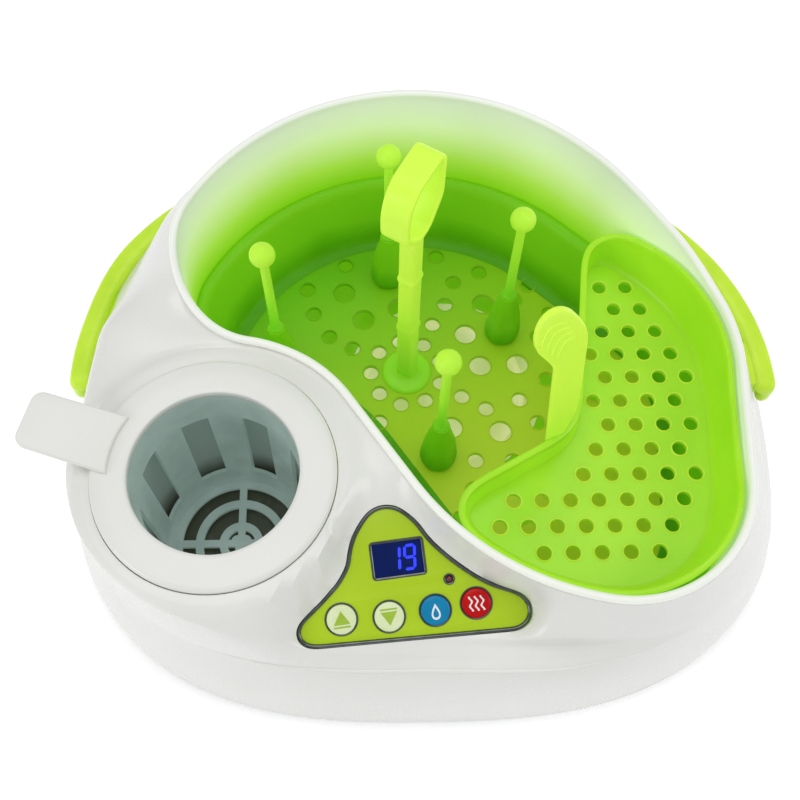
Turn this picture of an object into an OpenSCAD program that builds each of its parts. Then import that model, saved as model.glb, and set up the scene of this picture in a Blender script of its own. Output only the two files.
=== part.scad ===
/* [Body] */
// Width of the base outline
body_w = 364; // [320:1:440]
// Depth of the base outline
body_d = 296; // [280:1:360]
// Height of the rear rim above the table
body_h = 145; // [136:1:180]
// Wall of the white outer shell
shell_t = 2.6; // [2:0.1:3.2]
// Squareness of the base outline, 2 is an ellipse
body_n = 2.65; // [2.2:0.05:3]
// Height of the rubber feet
foot_h = 4; // [3:0.5:6]
// Radius of the rubber feet
foot_r = 9; // [6:0.5:11]

/* [Steam chamber] */
// Radius of the round rear part of the chamber
chamber_r = 115; // [106:1:117]
// Radius of the front of the chamber, beside the panel
chin_r = 121.5; // [116:0.5:124]
// Radius of the front right corner of the chamber
lobe_r = 54; // [50:0.5:58]
// Radius of the right side of the chamber
cheek_r = 81.5; // [76:0.5:84]
// Radius of the chamber wall that bends around the warmer
bite_r = 67; // [64:0.5:70]
// Radius of the left corner of the chamber
corner_r = 37; // [30:1:42]
// Wall of the chamber liner
liner_t = 2; // [1.6:0.1:2.4]
// Width of the liner lip that covers the edge of the shell
lip_w = 3.6; // [3.2:0.1:4.4]
// Height of the rim beside the warmer
rim_mid_z = 120; // [119:0.5:126]
// Height of the rim at the front
rim_front_z = 119; // [116:0.5:122]
// Top of the chamber floor
chamber_floor_z = 24; // [22:0.5:28]
// Radius of the steel heater plate
heater_r = 52; // [44:1:56]

/* [Bottle warmer] */
// Radius of the bottle opening
warmer_bore_r = 36.5; // [32:0.5:38]
// Width of the flat collar around the opening
collar_w = 16; // [14:0.5:17]
// Top of the collar
collar_z = 122; // [121.5:0.5:128]
// Depth of the cup below the top of the collar
cup_depth = 103; // [80:1:104]
// Length of the lifting tab
tab_l = 38; // [30:1:42]

/* [Bottle rack] */
// Top of the rack floor
rack_floor_z = 45; // [40:1:52]
// Top of the rack rim
rack_rim_z = 83; // [76:1:86]
// Height of the ball centres above the rack floor
peg_h = 104; // [80:1:130]
// Diameter of the peg rods
peg_d = 4.4; // [3.6:0.1:5]
// Height of the stem, from the rack floor to the top of its loop
stem_h = 168; // [150:1:230]
// Width of the stem shaft
stem_w = 9; // [7:0.5:10]

/* [Tray] */
// Top of the tray floor
tray_floor_z = 92; // [90:0.5:97]
// Height of the tray wall above its floor
tray_wall_h = 17; // [12:0.5:18]
// Diameter of the tray holes
tray_hole_d = 6.6; // [4:0.1:8]
// Height of the tray handle above the tray floor
tray_handle_h = 134; // [100:1:150]

/* [Control panel] */
// Tilt of the panel
panel_tilt = 22; // [18:0.5:26]
// Turn of the panel about the vertical
panel_yaw = 7; // [4:0.5:10]
// Diameter of the push buttons
button_d = 13.6; // [11:0.2:15]
// Travel of the push buttons
button_travel = 0.8; // [0.4:0.1:1]

/* [Handles] */
// Radius of the curve of both side handles
handle_r = 125; // [120:0.5:130]
// Thickness of the handle bar
handle_t = 7; // [5:0.5:9]
// Height of the handle bar
handle_h = 18; // [14:1:24]
// Middle height of the handles
handle_z = 68; // [60:1:74]

/* [Hidden] */
$fn = 64;

// Gap between parts that lift out and what they sit on, and between fixed parts
gap = 0.3;
fixed_gap = 0.2;
eps = 0.01;

// Centres of the chamber's arcs and of the warmer
bowl = [-8, 5];
chin = [91.5, 4];
cheek = [55.5, -8.5];
warmer = [-95, -61];
bite = [-92, -62];
heater = [10, 22];

function unit(a) = [cos(a), sin(a)];
function angle_of(v) = atan2(v.y, v.x);
function full_turn(a) = a < 0 ? a + 360 : a;
function mix(a, b, t) = a + (b - a) * t;
function clamp01(t) = min(1, max(0, t));
function smooth(t) = let(c = clamp01(t)) c * c * (3 - 2 * c);
function arc(c, r, a0, a1, n) = [for (i = [0:n]) c + r * unit(a0 + (a1 - a0) * i / n)];
function next_arc(c, r, a0, a1, n) = [for (i = [1:n]) c + r * unit(a0 + (a1 - a0) * i / n)];
function line(p, q, n) = [for (i = [1:n - 1]) mix(p, q, i / n)];

// Corner arc: inside the bowl circle and outside the warmer's circle
corner_span = norm(bite - bowl);
corner_in = chamber_r - corner_r;
corner_out = bite_r + corner_r;
corner_along = (corner_in * corner_in - corner_out * corner_out + corner_span * corner_span)
    / (2 * corner_span);
corner_side = sqrt(corner_in * corner_in - corner_along * corner_along);
corner_dir = (bite - bowl) / corner_span;
corner = bowl + corner_along * corner_dir + corner_side * [corner_dir.y, -corner_dir.x];
corner_a0 = full_turn(angle_of(corner - bowl));
corner_a1 = full_turn(angle_of(bite - corner));
// Straight waist, tangent to the warmer's circle and to the chin
waist_a = angle_of(chin - bite) + acos((bite_r + chin_r) / norm(chin - bite));
// Lobe: inside the chin's circle, tangent to it at the front
chin_end_a = 260;
lobe = chin + (chin_r - lobe_r) * unit(chin_end_a);
// Right side: tangents from the lobe to the cheek and from the cheek to the bowl
function tangent_a(c0, r0, c1, r1) = angle_of(c1 - c0) - acos((r0 - r1) / norm(c1 - c0));
cheek_a0 = tangent_a(lobe, lobe_r, cheek, cheek_r);
cheek_a1 = tangent_a(cheek, cheek_r, bowl, chamber_r);

// Chamber outline moved outwards by d, as arcs joined by tangents
function bowl_arc(d) = arc(bowl, chamber_r + d, cheek_a1, corner_a0, 24);
function corner_arc(d) = next_arc(corner, corner_r + d, corner_a0, corner_a1, 10);
function bite_arc(d) = next_arc(bite, bite_r - d, corner_a1 - 180, waist_a, 18);
function chin_arc(d) = arc(chin, chin_r + d, waist_a + 180, chin_end_a, 12);
function lobe_arc(d) = next_arc(lobe, lobe_r + d, chin_end_a, cheek_a0 + 360, 12);
function cheek_arc(d) = arc(cheek, cheek_r + d, cheek_a0, cheek_a1, 8);
function chamber_path(d) = concat(bowl_arc(d), corner_arc(d), bite_arc(d), chin_arc(d), lobe_arc(d),
    cheek_arc(d));
// The same outline with points along its straight stretches
function waist_line(d) =
    line(bite + (bite_r - d) * unit(waist_a), chin - (chin_r + d) * unit(waist_a), 7);
function side_line(d) =
    line(cheek + (cheek_r + d) * unit(cheek_a1), bowl + (chamber_r + d) * unit(cheek_a1), 6);
function rim_path(d) = concat(bowl_arc(d), corner_arc(d), bite_arc(d), waist_line(d),
    chin_arc(d), lobe_arc(d), cheek_arc(d), side_line(d));

// Height of the rim: level behind, a smooth drop at the middle, a gentle fall to the front
rim_a = -7;
rim_back = 76;
rim_mid = 5;
rim_front = -115;
function rim_along(p) = p.x * sin(rim_a) + p.y * cos(rim_a);
function rim_height(u) = mix(rim_front_z, rim_mid_z, clamp01((u - rim_front) / (rim_mid - rim_front)))
    + (body_h - rim_mid_z) * smooth((u - rim_mid) / (rim_back - rim_mid));
lip_t = 2.5;
lip_gap = 0.5;
lip_seat = 0.4;
function shell_top(p) = rim_height(rim_along(p)) - lip_t - lip_seat;

// Base outline, drawn in by a margin
function base_point(a, inset) =
    let(cx = abs(cos(a)) / (body_w / 2 - inset), cy = abs(sin(a)) / (body_d / 2 - inset))
    pow(pow(cx, body_n) + pow(cy, body_n), -1 / body_n) * unit(a);
function base_path(inset) = [for (p = rim_path(lip_w)) base_point(angle_of(p), inset)];

// Deck at the front left: how much of it there is in each direction, and its outer edge
function deck_share(a) = smooth((a - 160) / 22) * smooth((316 - a) / 26);
shoulder_inset = [[150, 36], [180, 29], [202, 20], [213, 13], [231, 17], [250, 21], [265, 22], [285, 19],
    [300, 13], [316, 8]];
shoulder_z = [[150, 113], [231, 112], [240, 107], [254, 92], [266, 86], [300, 87], [330, 90]];
crease_inset = [[150, 22], [180, 18], [202, 12], [213, 7], [231, 8], [250, 10], [265, 11], [285, 9],
    [300, 6], [316, 4]];
crease_z = 78;

// Finger pockets in the flank, under both handles
pocket_depth = 13;
pocket_a = [17, 159];
function from_pocket(a) = min(abs(a - pocket_a[0]), abs(a - pocket_a[1]));
function pocket(a) = pocket_depth * smooth((11 - from_pocket(a)) / 5);

// One rib of the shell, from the rim opening down to the foot; grow moves it outwards
rim_ledge = lip_w + 0.3;
function flank_bend(a) = 1.7 - 0.6 * (a > 180 ? smooth((a - 330) / 25) : smooth((65 - a) / 25));
function flank(p, q, top, z, a, dent) =
    let(c = mix(p, q, 1 - pow((z - foot_h) / (top - foot_h), flank_bend(a))) - dent * unit(a))
    [c.x, c.y, z];
function rib(inner, outer, grow) =
    let(a = full_turn(angle_of(outer)), z = shell_top(outer), w = deck_share(a),
        foot = base_point(a, -grow), u = unit(a), rim = outer + grow * u,
        edge = base_point(a, lookup(a, shoulder_inset) - grow),
        edge_z = lookup(a, shoulder_z) + grow,
        fold = base_point(a, lookup(a, crease_inset) - grow),
        low_edge = [edge.x, edge.y, edge_z - 3],
        low_fold = [fold.x, fold.y, crease_z],
        half = [for (c = mix(rim, edge, 0.5)) c, mix(z + grow, edge_z, 0.42)],
        near = [for (c = mix(rim, edge, 0.9)) c, mix(z + grow, edge_z, 0.82)],
        front = a > 180 ? 1 - smooth((a - 318) / 35) : 0,
        dent = pocket(a), lift = -grow * dent / pocket_depth)
    [[inner.x, inner.y, shell_top(inner) + grow], [rim.x, rim.y, z + grow],
     mix(flank(rim, foot, z, mix(z, foot_h, 0.1), a, 0), half, w),
     mix(flank(rim, foot, z, mix(z, foot_h, 0.22), a, 0), near, w),
     mix(flank(rim, foot, z, mix(web_z + 1.5, 83, front) + lift, a, 0), low_edge, w),
     mix(flank(rim, foot, z, mix(web_z - 0.5, 80.5, front) + lift, a, dent), mix(low_edge, low_fold, 0.5), w),
     mix(flank(rim, foot, z, mix(46, crease_z, front), a, dent / 2), low_fold, w),
     [foot.x, foot.y, foot_h + 6], [foot.x, foot.y, foot_h]];
function ribs(grow) =
    let(a = rim_path(liner_t + lip_gap), b = rim_path(rim_ledge))
    [for (i = [0:len(b) - 1]) rib(a[i], b[i], grow)];

// Closed skin through rows of points: rings[i][j] is point j of rib i
function ring_faces(n, m) = [for (i = [0:n - 1], j = [0:m - 1])
    let(k = (i + 1) % n, l = (j + 1) % m)
    each [[i * m + j, k * m + l, i * m + l], [i * m + j, k * m + j, k * m + l]]];
module skin(rings) {
    polyhedron([for (r = rings) each r], ring_faces(len(rings), len(rings[0])), convexity = 8);
}

// Solid bounded by the outside of the shell, grown by a gap
module body_form(grow) {
    rows = ribs(grow);
    n = len(rows);
    m = len(rows[0]);
    top = [0, 0, 60];
    low = [0, 0, foot_h];
    sides = [for (i = [0:n - 1], j = [0:m - 2]) let(k = (i + 1) % n)
        each [[i * m + j, k * m + j + 1, i * m + j + 1], [i * m + j, k * m + j, k * m + j + 1]]];
    caps = [for (i = [0:n - 1]) let(k = (i + 1) % n)
        each [[k * m, i * m, n * m], [i * m + m - 1, k * m + m - 1, n * m + 1]]];
    polyhedron(concat([for (r = rows) each r], [top, low]), concat(sides, caps), convexity = 8);
}

// Everything below the rim surface, moved up or down by dz
module under_rim(dz) {
    reach = 260;
    us = concat([-reach, rim_front], [for (i = [0:12]) mix(rim_mid, rim_back, i / 12)], [reach]);
    rotate([0, 0, -rim_a]) translate([-reach, 0, 0]) rotate([90, 0, 90]) linear_extrude(2 * reach)
        polygon(concat([[reach, 0], [-reach, 0]], [for (u = us) [u, rim_height(u) + dz]]));
}
module band(d0, d1, z0, z1) {
    translate([0, 0, z0]) linear_extrude(z1 - z0) difference() {
        polygon(chamber_path(d1));
        polygon(chamber_path(d0));
    }
}
module at(p, z = 0) {
    translate([p.x, p.y, z]) children();
}

// Warmer heights: collar on the pot flange, pot flange on the shell's seat
collar_r = warmer_bore_r + collar_w;
collar_t = 4.4;
pot_flange_t = 1.8;
pot_t = 1.8;
collar_low = collar_z - collar_t;
pot_top = collar_low - gap;
seat_z = pot_top - pot_flange_t;
cup_t = 1.8;
cup_r = warmer_bore_r + cup_t;
pot_r = cup_r + 5;
pot_outer = pot_r + pot_t;
pot_floor_z = collar_z - cup_depth - 4;
seat_bore = pot_outer + 0.6;
boss_r = max(collar_r + 3, seat_bore + 8);
boss_low = 96;

// Panel frame: x along the lower edge, y up the slope, z out of the face
panel_o = [-9.5, -125.7, 86.5];
module on_panel(z = 0) {
    translate(panel_o) rotate([0, 0, panel_yaw]) rotate([panel_tilt, 0, 0]) translate([0, 0, z]) children();
}
panel_top = [-3, 45];
panel_left = [-42, 9];
panel_right = [43, 6];
module panel_shape(margin) {
    offset(r = margin) offset(delta = -4) offset(r = 4) difference() {
        hull() {
            translate(panel_top) circle(12);
            translate(panel_left) circle(7);
            translate(panel_right) circle(8);
        }
        translate([-80, 75]) circle(66.5);
        translate([62, 66]) circle(54);
    }
}
face_t = 2;
button_at = [[-31, 12.6], [-10.6, 11], [9.4, 11], [27.3, 11.7]];
display_c = [-3.8, 35];
display_size = [22, 15];
led_at = [17, 23.4];
board_drop = 10;
button_low = -4.4;
cap_rise = 1.4;

// Positions on the base
boss_at = [for (a = [40, 140, 222, 318]) base_point(a, 7)];
screw_r = 1.5;
boss_top = 19;
plate_t = 2.8;
plate_top = foot_h + plate_t;
foot_at = [for (a = [38, 142, 218, 322]) base_point(a, 26)];
post_at = [for (a = [20, 90, 160, 300]) bowl + (chamber_r - 30) * unit(a)];
board_c = [-16, -114];
board_size = [58, 36];
board_z = 15;
board_holes = [for (sx = [-1, 1], sy = [-1, 1])
    board_c + [sx * (board_size.x / 2 - 4), sy * (board_size.y / 2 - 4)]];
gland_z = 22;
gland_r = 3.4;
gland_hole = 6;

// Point on the flank at height z, in direction a
function rim_toward(a) =
    let(path = rim_path(rim_ledge), n = len(path),
        hit = [for (i = [0:n - 1]) let(p = path[i], q = path[(i + 1) % n],
            s = cross(unit(a), p), t = cross(unit(a), q))
            if (s <= 0 && t > 0 && p * unit(a) > 0) mix(p, q, s / (s - t))])
    hit[0];
function flank_r(a, z) =
    let(p = rim_toward(a), r = rib(p, p, 0),
        k = [for (j = [1:7]) if (r[j].z >= z && r[j + 1].z < z) j][0],
        q = mix(r[k], r[k + 1], (r[k].z - z) / (r[k].z - r[k + 1].z)))
    norm([q.x, q.y]);

module outer_shell() color("whitesmoke") difference() {
    union() {
        outside = ribs(0);
        skin([for (r = outside) concat(r, [for (j = [len(r) - 1:-1:0])
            let(p = r[j], a = angle_of(p), t = j == 0 ? 0 : j == 1 ? 0.9 : shell_t,
                roof = j == 4 || j == 5 ? smooth((14 - from_pocket(full_turn(a))) / 3.5) : 0)
            [p.x - t * cos(a), p.y - t * sin(a), j > 6 ? p.z : p.z + shell_t * (2 * roof - 1)]])]);
        at(warmer, boss_low) difference() {
            cylinder(r = boss_r, h = seat_z - boss_low, $fn = 96);
            translate([0, 0, -eps]) cylinder(r = seat_bore, h = seat_z, $fn = 96);
        }
        intersection() {
            union() {
                for (p = boss_at) at(p, plate_top + fixed_gap) cylinder(r = 5, h = boss_top - plate_top);
                for (i = [0, 1], a = handle_screw_a) handle_screw_axis(i, a) translate([0, 0, -handle_boss])
                    cylinder(r = 4.6, h = handle_boss);
            }
            body_form(-0.5);
        }
    }
    at(warmer, boss_low - 10) cylinder(r = seat_bore, h = 60, $fn = 96);
    at(warmer, seat_z) cylinder(r = collar_r + 1.5, h = 20, $fn = 96);
    on_panel(-14) linear_extrude(30) panel_shape(0.3);
    for (p = boss_at) at(p, plate_top) cylinder(r = screw_r + 0.05, h = boss_top - plate_top - 2);
    translate([0, body_d / 2 - 20, gland_z]) rotate([-90, 0, 0]) cylinder(r = gland_hole, h = 40);
    handle_screw_holes();
}

module chamber_liner() color("white") {
    difference() {
        union() {
            intersection() {
                band(0, liner_t, chamber_floor_z - liner_t, body_h + 5);
                under_rim(0);
            }
            intersection() {
                difference() {
                    band(0, lip_w, chamber_floor_z, body_h + 5);
                    under_rim(-lip_t);
                }
                under_rim(0);
            }
            band(-3.6, eps, ledge_z - 5, ledge_z);
            translate([0, 0, chamber_floor_z - liner_t]) linear_extrude(liner_t) difference() {
                polygon(chamber_path(eps));
                translate(heater) circle(heater_r - 6, $fn = 96);
                for (p = stud_at) translate(p) circle(2.3);
            }
        }
    }
}
rack_flange_t = 2.5;
ledge_z = rack_rim_z - rack_flange_t - gap;
stud_at = [for (a = [45:90:315]) heater + (heater_r - 3) * unit(a)];

module base_plate() color("gainsboro") difference() {
    union() {
        translate([0, 0, foot_h]) linear_extrude(plate_t) polygon(base_path(shell_t + 0.5));
        for (p = post_at) at(p, plate_top - eps)
            cylinder(r = 4, h = chamber_floor_z - liner_t - fixed_gap - plate_top + eps);
        for (p = board_holes) at(p, plate_top - eps) cylinder(r = 3, h = board_z - plate_top + eps);
        at(warmer, plate_top - eps) difference() {
            cylinder(r = pot_outer - 6, h = pot_floor_z - pot_t - fixed_gap - plate_top + eps);
            translate([0, 0, -1]) cylinder(r = pot_outer - 9, h = 40);
        }
    }
    for (p = boss_at) at(p, foot_h - eps) {
        cylinder(r = screw_r + 0.2, h = 10);
        cylinder(r = 3.2, h = 1.8);
    }
    for (p = foot_at) at(p, foot_h - eps) cylinder(r = 3.2, h = 10);
    for (p = board_holes) at(p, plate_top) cylinder(r = 1.15, h = 20);
}
module rubber_feet() color("dimgray") for (p = foot_at) at(p) {
    cylinder(r = foot_r, h = foot_h);
    cylinder(r = 3, h = plate_top + 2);
}
module base_screws() color("silver") for (p = boss_at) at(p, foot_h + 0.1) {
    cylinder(r = 3, h = 1.5);
    cylinder(r = screw_r, h = 12);
}

// Heater stack under the chamber
dish_r = heater_r - 9;
dish_z = chamber_floor_z - 4.8;
seal_t = 1;
flange_z = chamber_floor_z + seal_t;
element_r = dish_r - 14;
element_tube = 3.8;
clamp_t = 2;
clamp_z = chamber_floor_z - liner_t - clamp_t;
module heater_plate() color("lightsteelblue") at(heater) {
    rotate_extrude($fn = 96) polygon([[0, dish_z], [dish_r, dish_z], [dish_r + 1.4, flange_z],
        [heater_r, flange_z], [heater_r, flange_z + 1.2], [dish_r, flange_z + 1.2],
        [dish_r - 1.4, dish_z + 1.2], [0, dish_z + 1.2]]);
    for (p = stud_at) at(p - heater, clamp_z - 6) cylinder(r = 2, h = flange_z + 0.4 - clamp_z + 6);
}
module heater_seal() color("white") difference() {
    at(heater, chamber_floor_z) difference() {
        cylinder(r = heater_r, h = seal_t, $fn = 96);
        translate([0, 0, -1]) cylinder(r = heater_r - 6, h = 4, $fn = 96);
    }
    for (p = stud_at) at(p, chamber_floor_z - 1) cylinder(r = 2.2, h = 4);
}
module heating_element() color("dimgray") at(heater, dish_z - element_tube) {
    rotate([0, 0, 20]) rotate_extrude(angle = 320, $fn = 96) translate([element_r, 0]) circle(element_tube);
    for (a = [20, 340]) at(element_r * unit(a), -element_tube - 3) cylinder(r = 1.6, h = 5);
}
module heater_clamp() color("silver") difference() {
    at(heater, clamp_z) difference() {
        cylinder(r = heater_r + 2, h = clamp_t, $fn = 96);
        translate([0, 0, -1]) cylinder(r = heater_r - 6, h = 6, $fn = 96);
    }
    for (p = stud_at) at(p, clamp_z - 1) cylinder(r = 2.2, h = 6);
}
module heater_nuts() color("silver") for (p = stud_at) at(p, clamp_z - 3) difference() {
    cylinder(r = 3.6, h = 3, $fn = 6);
    translate([0, 0, -1]) cylinder(r = 2.05, h = 6);
}
module chamber_thermostat() color("black") at(heater, plate_top + 3.5) {
    cylinder(r = 8, h = dish_z - plate_top - 3.5);
    for (s = [-1, 1]) translate([s * 5, 0, -1.4]) cube([1, 4, 3], center = true);
}

// Bottle warmer
module warmer_pot() color("silver") at(warmer) rotate_extrude($fn = 96) polygon([
    [0, pot_floor_z - pot_t], [pot_outer, pot_floor_z - pot_t], [pot_outer, seat_z],
    [pot_outer + 4, seat_z], [pot_outer + 4, pot_top], [pot_r, pot_top],
    [pot_r, pot_floor_z], [0, pot_floor_z]]);
warmer_heat_h = 30;
module warmer_heater() color("goldenrod") at(warmer, pot_floor_z + 4) difference() {
    cylinder(r = pot_outer + 2.2, h = warmer_heat_h, $fn = 96);
    translate([0, 0, -1]) cylinder(r = pot_outer + fixed_gap, h = warmer_heat_h + 2, $fn = 96);
}
module warmer_sensor() color("black") at(warmer + [pot_outer - 20, 0], plate_top)
    cylinder(r = 3, h = pot_floor_z - pot_t - plate_top);
tab_a = 164;
module warmer_collar() color("white") at(warmer) {
    rotate_extrude($fn = 96) polygon([[warmer_bore_r, collar_low], [collar_r - 1, collar_low],
        [collar_r, collar_low + 1], [collar_r, collar_z - 1.6], [collar_r - 1.6, collar_z],
        [warmer_bore_r + 1, collar_z], [warmer_bore_r, collar_z - 1]]);
    rotate([0, 0, tab_a]) translate([0, 0, collar_z - 1]) intersection() {
        rotate([0, -9, 0]) translate([0, -13.5, -7]) cube([collar_r - 6 + tab_l, 27, 3.2]);
        difference() {
            translate([0, -20, -1]) cube([200, 40, 60]);
            translate([0, 0, -2]) cylinder(r = collar_r - 8, h = 80, $fn = 96);
        }
    }
}
cup_low = collar_z - cup_depth;
cup_low_r = cup_r - 3.5;
cup_windows = 8;
grille_t = 2.4;
module warmer_cup() color("slategray") at(warmer) {
    difference() {
        rotate_extrude($fn = 96) polygon([[cup_low_r - cup_t, cup_low], [cup_low_r, cup_low],
            [cup_r, collar_low], [cup_r - cup_t, collar_low]]);
        for (i = [0:cup_windows - 1]) rotate([0, 0, 360 * (i + 0.5) / cup_windows])
            translate([cup_r - 8, -6.5, cup_low + 18]) cube([16, 13, cup_depth - 42]);
    }
    translate([0, 0, cup_low]) linear_extrude(grille_t) {
        for (r = [cup_low_r - cup_t + 0.6, 23, 11]) difference() {
            circle(r, $fn = 96);
            circle(r - 4, $fn = 96);
        }
        for (a = [0:90:270]) rotate(a) translate([3, -1.8]) square([cup_low_r - cup_t - 4, 3.6]);
        for (a = [30:120:270]) rotate(a) translate([2.4, 0]) circle(3);
    }
}

// Control panel
module panel_bezel() color("dimgray") on_panel() {
    translate([0, 0, 0.1 - face_t]) linear_extrude(face_t + 0.9) difference() {
        panel_shape(-fixed_gap);
        panel_shape(-2.4);
    }
}
board_screw_at = [[-41, 6.5], [38, 5.5]];
module panel_face() color("yellowgreen") {
    on_panel(-face_t) linear_extrude(face_t) difference() {
        panel_shape(-2.6);
        for (p = button_at) translate(p) circle(d = button_d + 0.6);
        translate(display_c) square(display_size, center = true);
        translate(led_at) circle(1.9);
    }
    for (p = board_screw_at) on_panel(-board_drop) translate(p) difference() {
        cylinder(r = 2.6, h = board_drop - face_t + eps);
        translate([0, 0, -1]) cylinder(r = 1.15, h = board_drop - face_t - 1);
    }
}
module display_window() color("midnightblue") on_panel(-face_t) translate(display_c)
    linear_extrude(face_t - 0.3) square(display_size - [0.4, 0.4], center = true);
module display_module() color("darkslategray") on_panel(-board_drop) translate(display_c)
    linear_extrude(board_drop - face_t - fixed_gap) square(display_size + [2, 2], center = true);
module indicator_led() color("darkred") on_panel(-board_drop) translate(led_at) {
    cylinder(r = 1.6, h = board_drop - 0.6);
    translate([0, 0, board_drop - 0.6]) sphere(1.6);
}
board_points = [[-44, 3.5], [41, 3], [41, 9], [13, 42], [-17, 42], [-38, 18], [-44, 10]];
module control_board() color("darkgreen") on_panel(-board_drop - 1.6) linear_extrude(1.6) difference() {
    polygon(board_points);
    for (p = board_screw_at) translate(p) circle(1.3);
}
module tact_switches() color("black") for (p = button_at) on_panel(-board_drop) translate(p) {
    linear_extrude(3.4) square(6, center = true);
    cylinder(r = 1.7, h = board_drop + button_low - button_travel - 0.1);
}
module board_screws() color("silver") {
    for (p = board_screw_at) on_panel(-board_drop - 3.2) translate(p) {
        cylinder(r = 2.2, h = 1.6);
        cylinder(r = 1.1, h = 8.5);
    }
    for (p = board_holes) at(p, board_z + 1.6) {
        cylinder(r = 2.2, h = 1.6);
        translate([0, 0, -7]) cylinder(r = 1.05, h = 8);
    }
}
module button(i, shade) color(shade) on_panel(button_low) translate(button_at[i]) {
    cylinder(r = 1.9, h = 2);
    translate([0, 0, 1]) cylinder(d = button_d + 2, h = -button_low - face_t - 1 - gap);
    translate([0, 0, 1]) cylinder(d = button_d, h = cap_rise - button_low - 1);
}
module button_up() button(0, "honeydew");
module button_down() button(1, "honeydew");
module button_warm() button(2, "steelblue");
module button_steam() button(3, "red");

// Power electronics on the base plate
module power_board() color("darkgreen") translate([board_c.x, board_c.y, board_z]) linear_extrude(1.6)
    difference() {
        square(board_size, center = true);
        for (p = board_holes) translate(p - board_c) circle(1.3);
    }
module board_part(dx, size) {
    translate([board_c.x + dx, board_c.y, board_z + 1.6 + size.z / 2]) cube(size, center = true);
}
module power_relay() color("royalblue") board_part(-13, [15, 19, 15]);
module power_transformer() color("gold") board_part(6, [20, 18, 16]);
module terminal_block() color("seagreen") board_part(21.5, [7, 20, 10]);
module cord_gland() color("dimgray") {
    r = flank_r(90, gland_z);
    translate([0, r, gland_z]) rotate([-90, 0, 0]) difference() {
        union() {
            translate([0, 0, -8.6]) cylinder(r = gland_hole - 0.3, h = 11);
            translate([0, 0, -8.6]) cylinder(r = gland_hole + 2, h = 3);
            translate([0, 0, 1.8]) cylinder(r = gland_hole + 2, h = 1.2);
        }
        translate([0, 0, -20]) cylinder(r = gland_r, h = 40);
    }
}

// Side handles
handle_c = [[-50, 8], [45, 1.5]];
handle_rear_a = 48;
handle_block_a = 10;
handle_low = handle_z - handle_h / 2;
web_t = 3;
web_z = handle_z + handle_h / 2 - 6;
handle_screw_a = [2, 7];
handle_boss = 8;
module sector(r0, r1, z0, z1, a0, a1) {
    translate([0, 0, z0]) rotate([0, 0, a0]) rotate_extrude(angle = a1 - a0, $fn = 128)
        translate([r0, 0]) square([r1 - r0, z1 - z0]);
}
module handle_form() {
    inner = handle_r - handle_t;
    sector(inner, handle_r, handle_low, handle_low + handle_h, 0, handle_rear_a);
    sector(60, inner + 1, web_z, web_z + web_t, 0, handle_rear_a);
    sector(60, inner + 1, handle_low + 2, handle_low + handle_h - 2, 0, handle_block_a);
    at([handle_r - handle_t / 2, 0], handle_low) cylinder(d = handle_t, h = handle_h);
}
module handle_screw_axis(i, a) {
    dir = angle_of(handle_c[i] + (handle_r - 5) * [(2 * i - 1) * cos(a), sin(a)]);
    translate([0, 0, handle_z - 2]) rotate([0, 0, dir]) rotate([0, 90, 0])
        translate([0, 0, flank_r(full_turn(dir), handle_z - 2)]) children();
}
module handle_screw_holes() {
    for (i = [0, 1], a = handle_screw_a) handle_screw_axis(i, a) translate([0, 0, -12])
        cylinder(r = screw_r + 0.2, h = 18);
}
module handle(i) color("yellowgreen") difference() {
    at(handle_c[i]) mirror([1 - i, 0, 0]) handle_form();
    body_form(fixed_gap);
    for (a = handle_screw_a) handle_screw_axis(i, a) translate([0, 0, -10]) cylinder(r = screw_r, h = 15.5);
}
module handle_left() handle(0);
module handle_right() handle(1);
module handle_screws() color("silver") for (i = [0, 1], a = handle_screw_a) handle_screw_axis(i, a) {
    translate([0, 0, -handle_boss - 2.2]) cylinder(r = 3, h = 2.2);
    translate([0, 0, -handle_boss - 1]) cylinder(r = screw_r - 0.05, h = handle_boss + 6);
}

// Bottle rack: drafted basket with peg sockets
rack_in = -5;
rack_floor_in = -13;
rack_t = 2;
stem = [-10, 22.5];
peg_at = [stem + [50.5, 23], stem + [-8.6, 58], stem + [-64.5, 6], stem + [14.6, -47.5]];
socket_h = 39;
socket_r = 8;
socket_top_r = 4.6;
peg_deep = 20;
stem_foot_r = 11;
rack_floor_t = 2.5;
function waist_gap(p) = (p - bite) * unit(waist_a) - bite_r;
function in_rack(p, m) = norm(p - bite) > bite_r + m && waist_gap(p) > m
    && (norm(p - bowl) < chamber_r - m || norm(p - lobe) < lobe_r - m);
function clear_of(p, pts, d) = len([for (q = pts) if (norm(p - q) < d) 1]) == 0;
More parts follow.
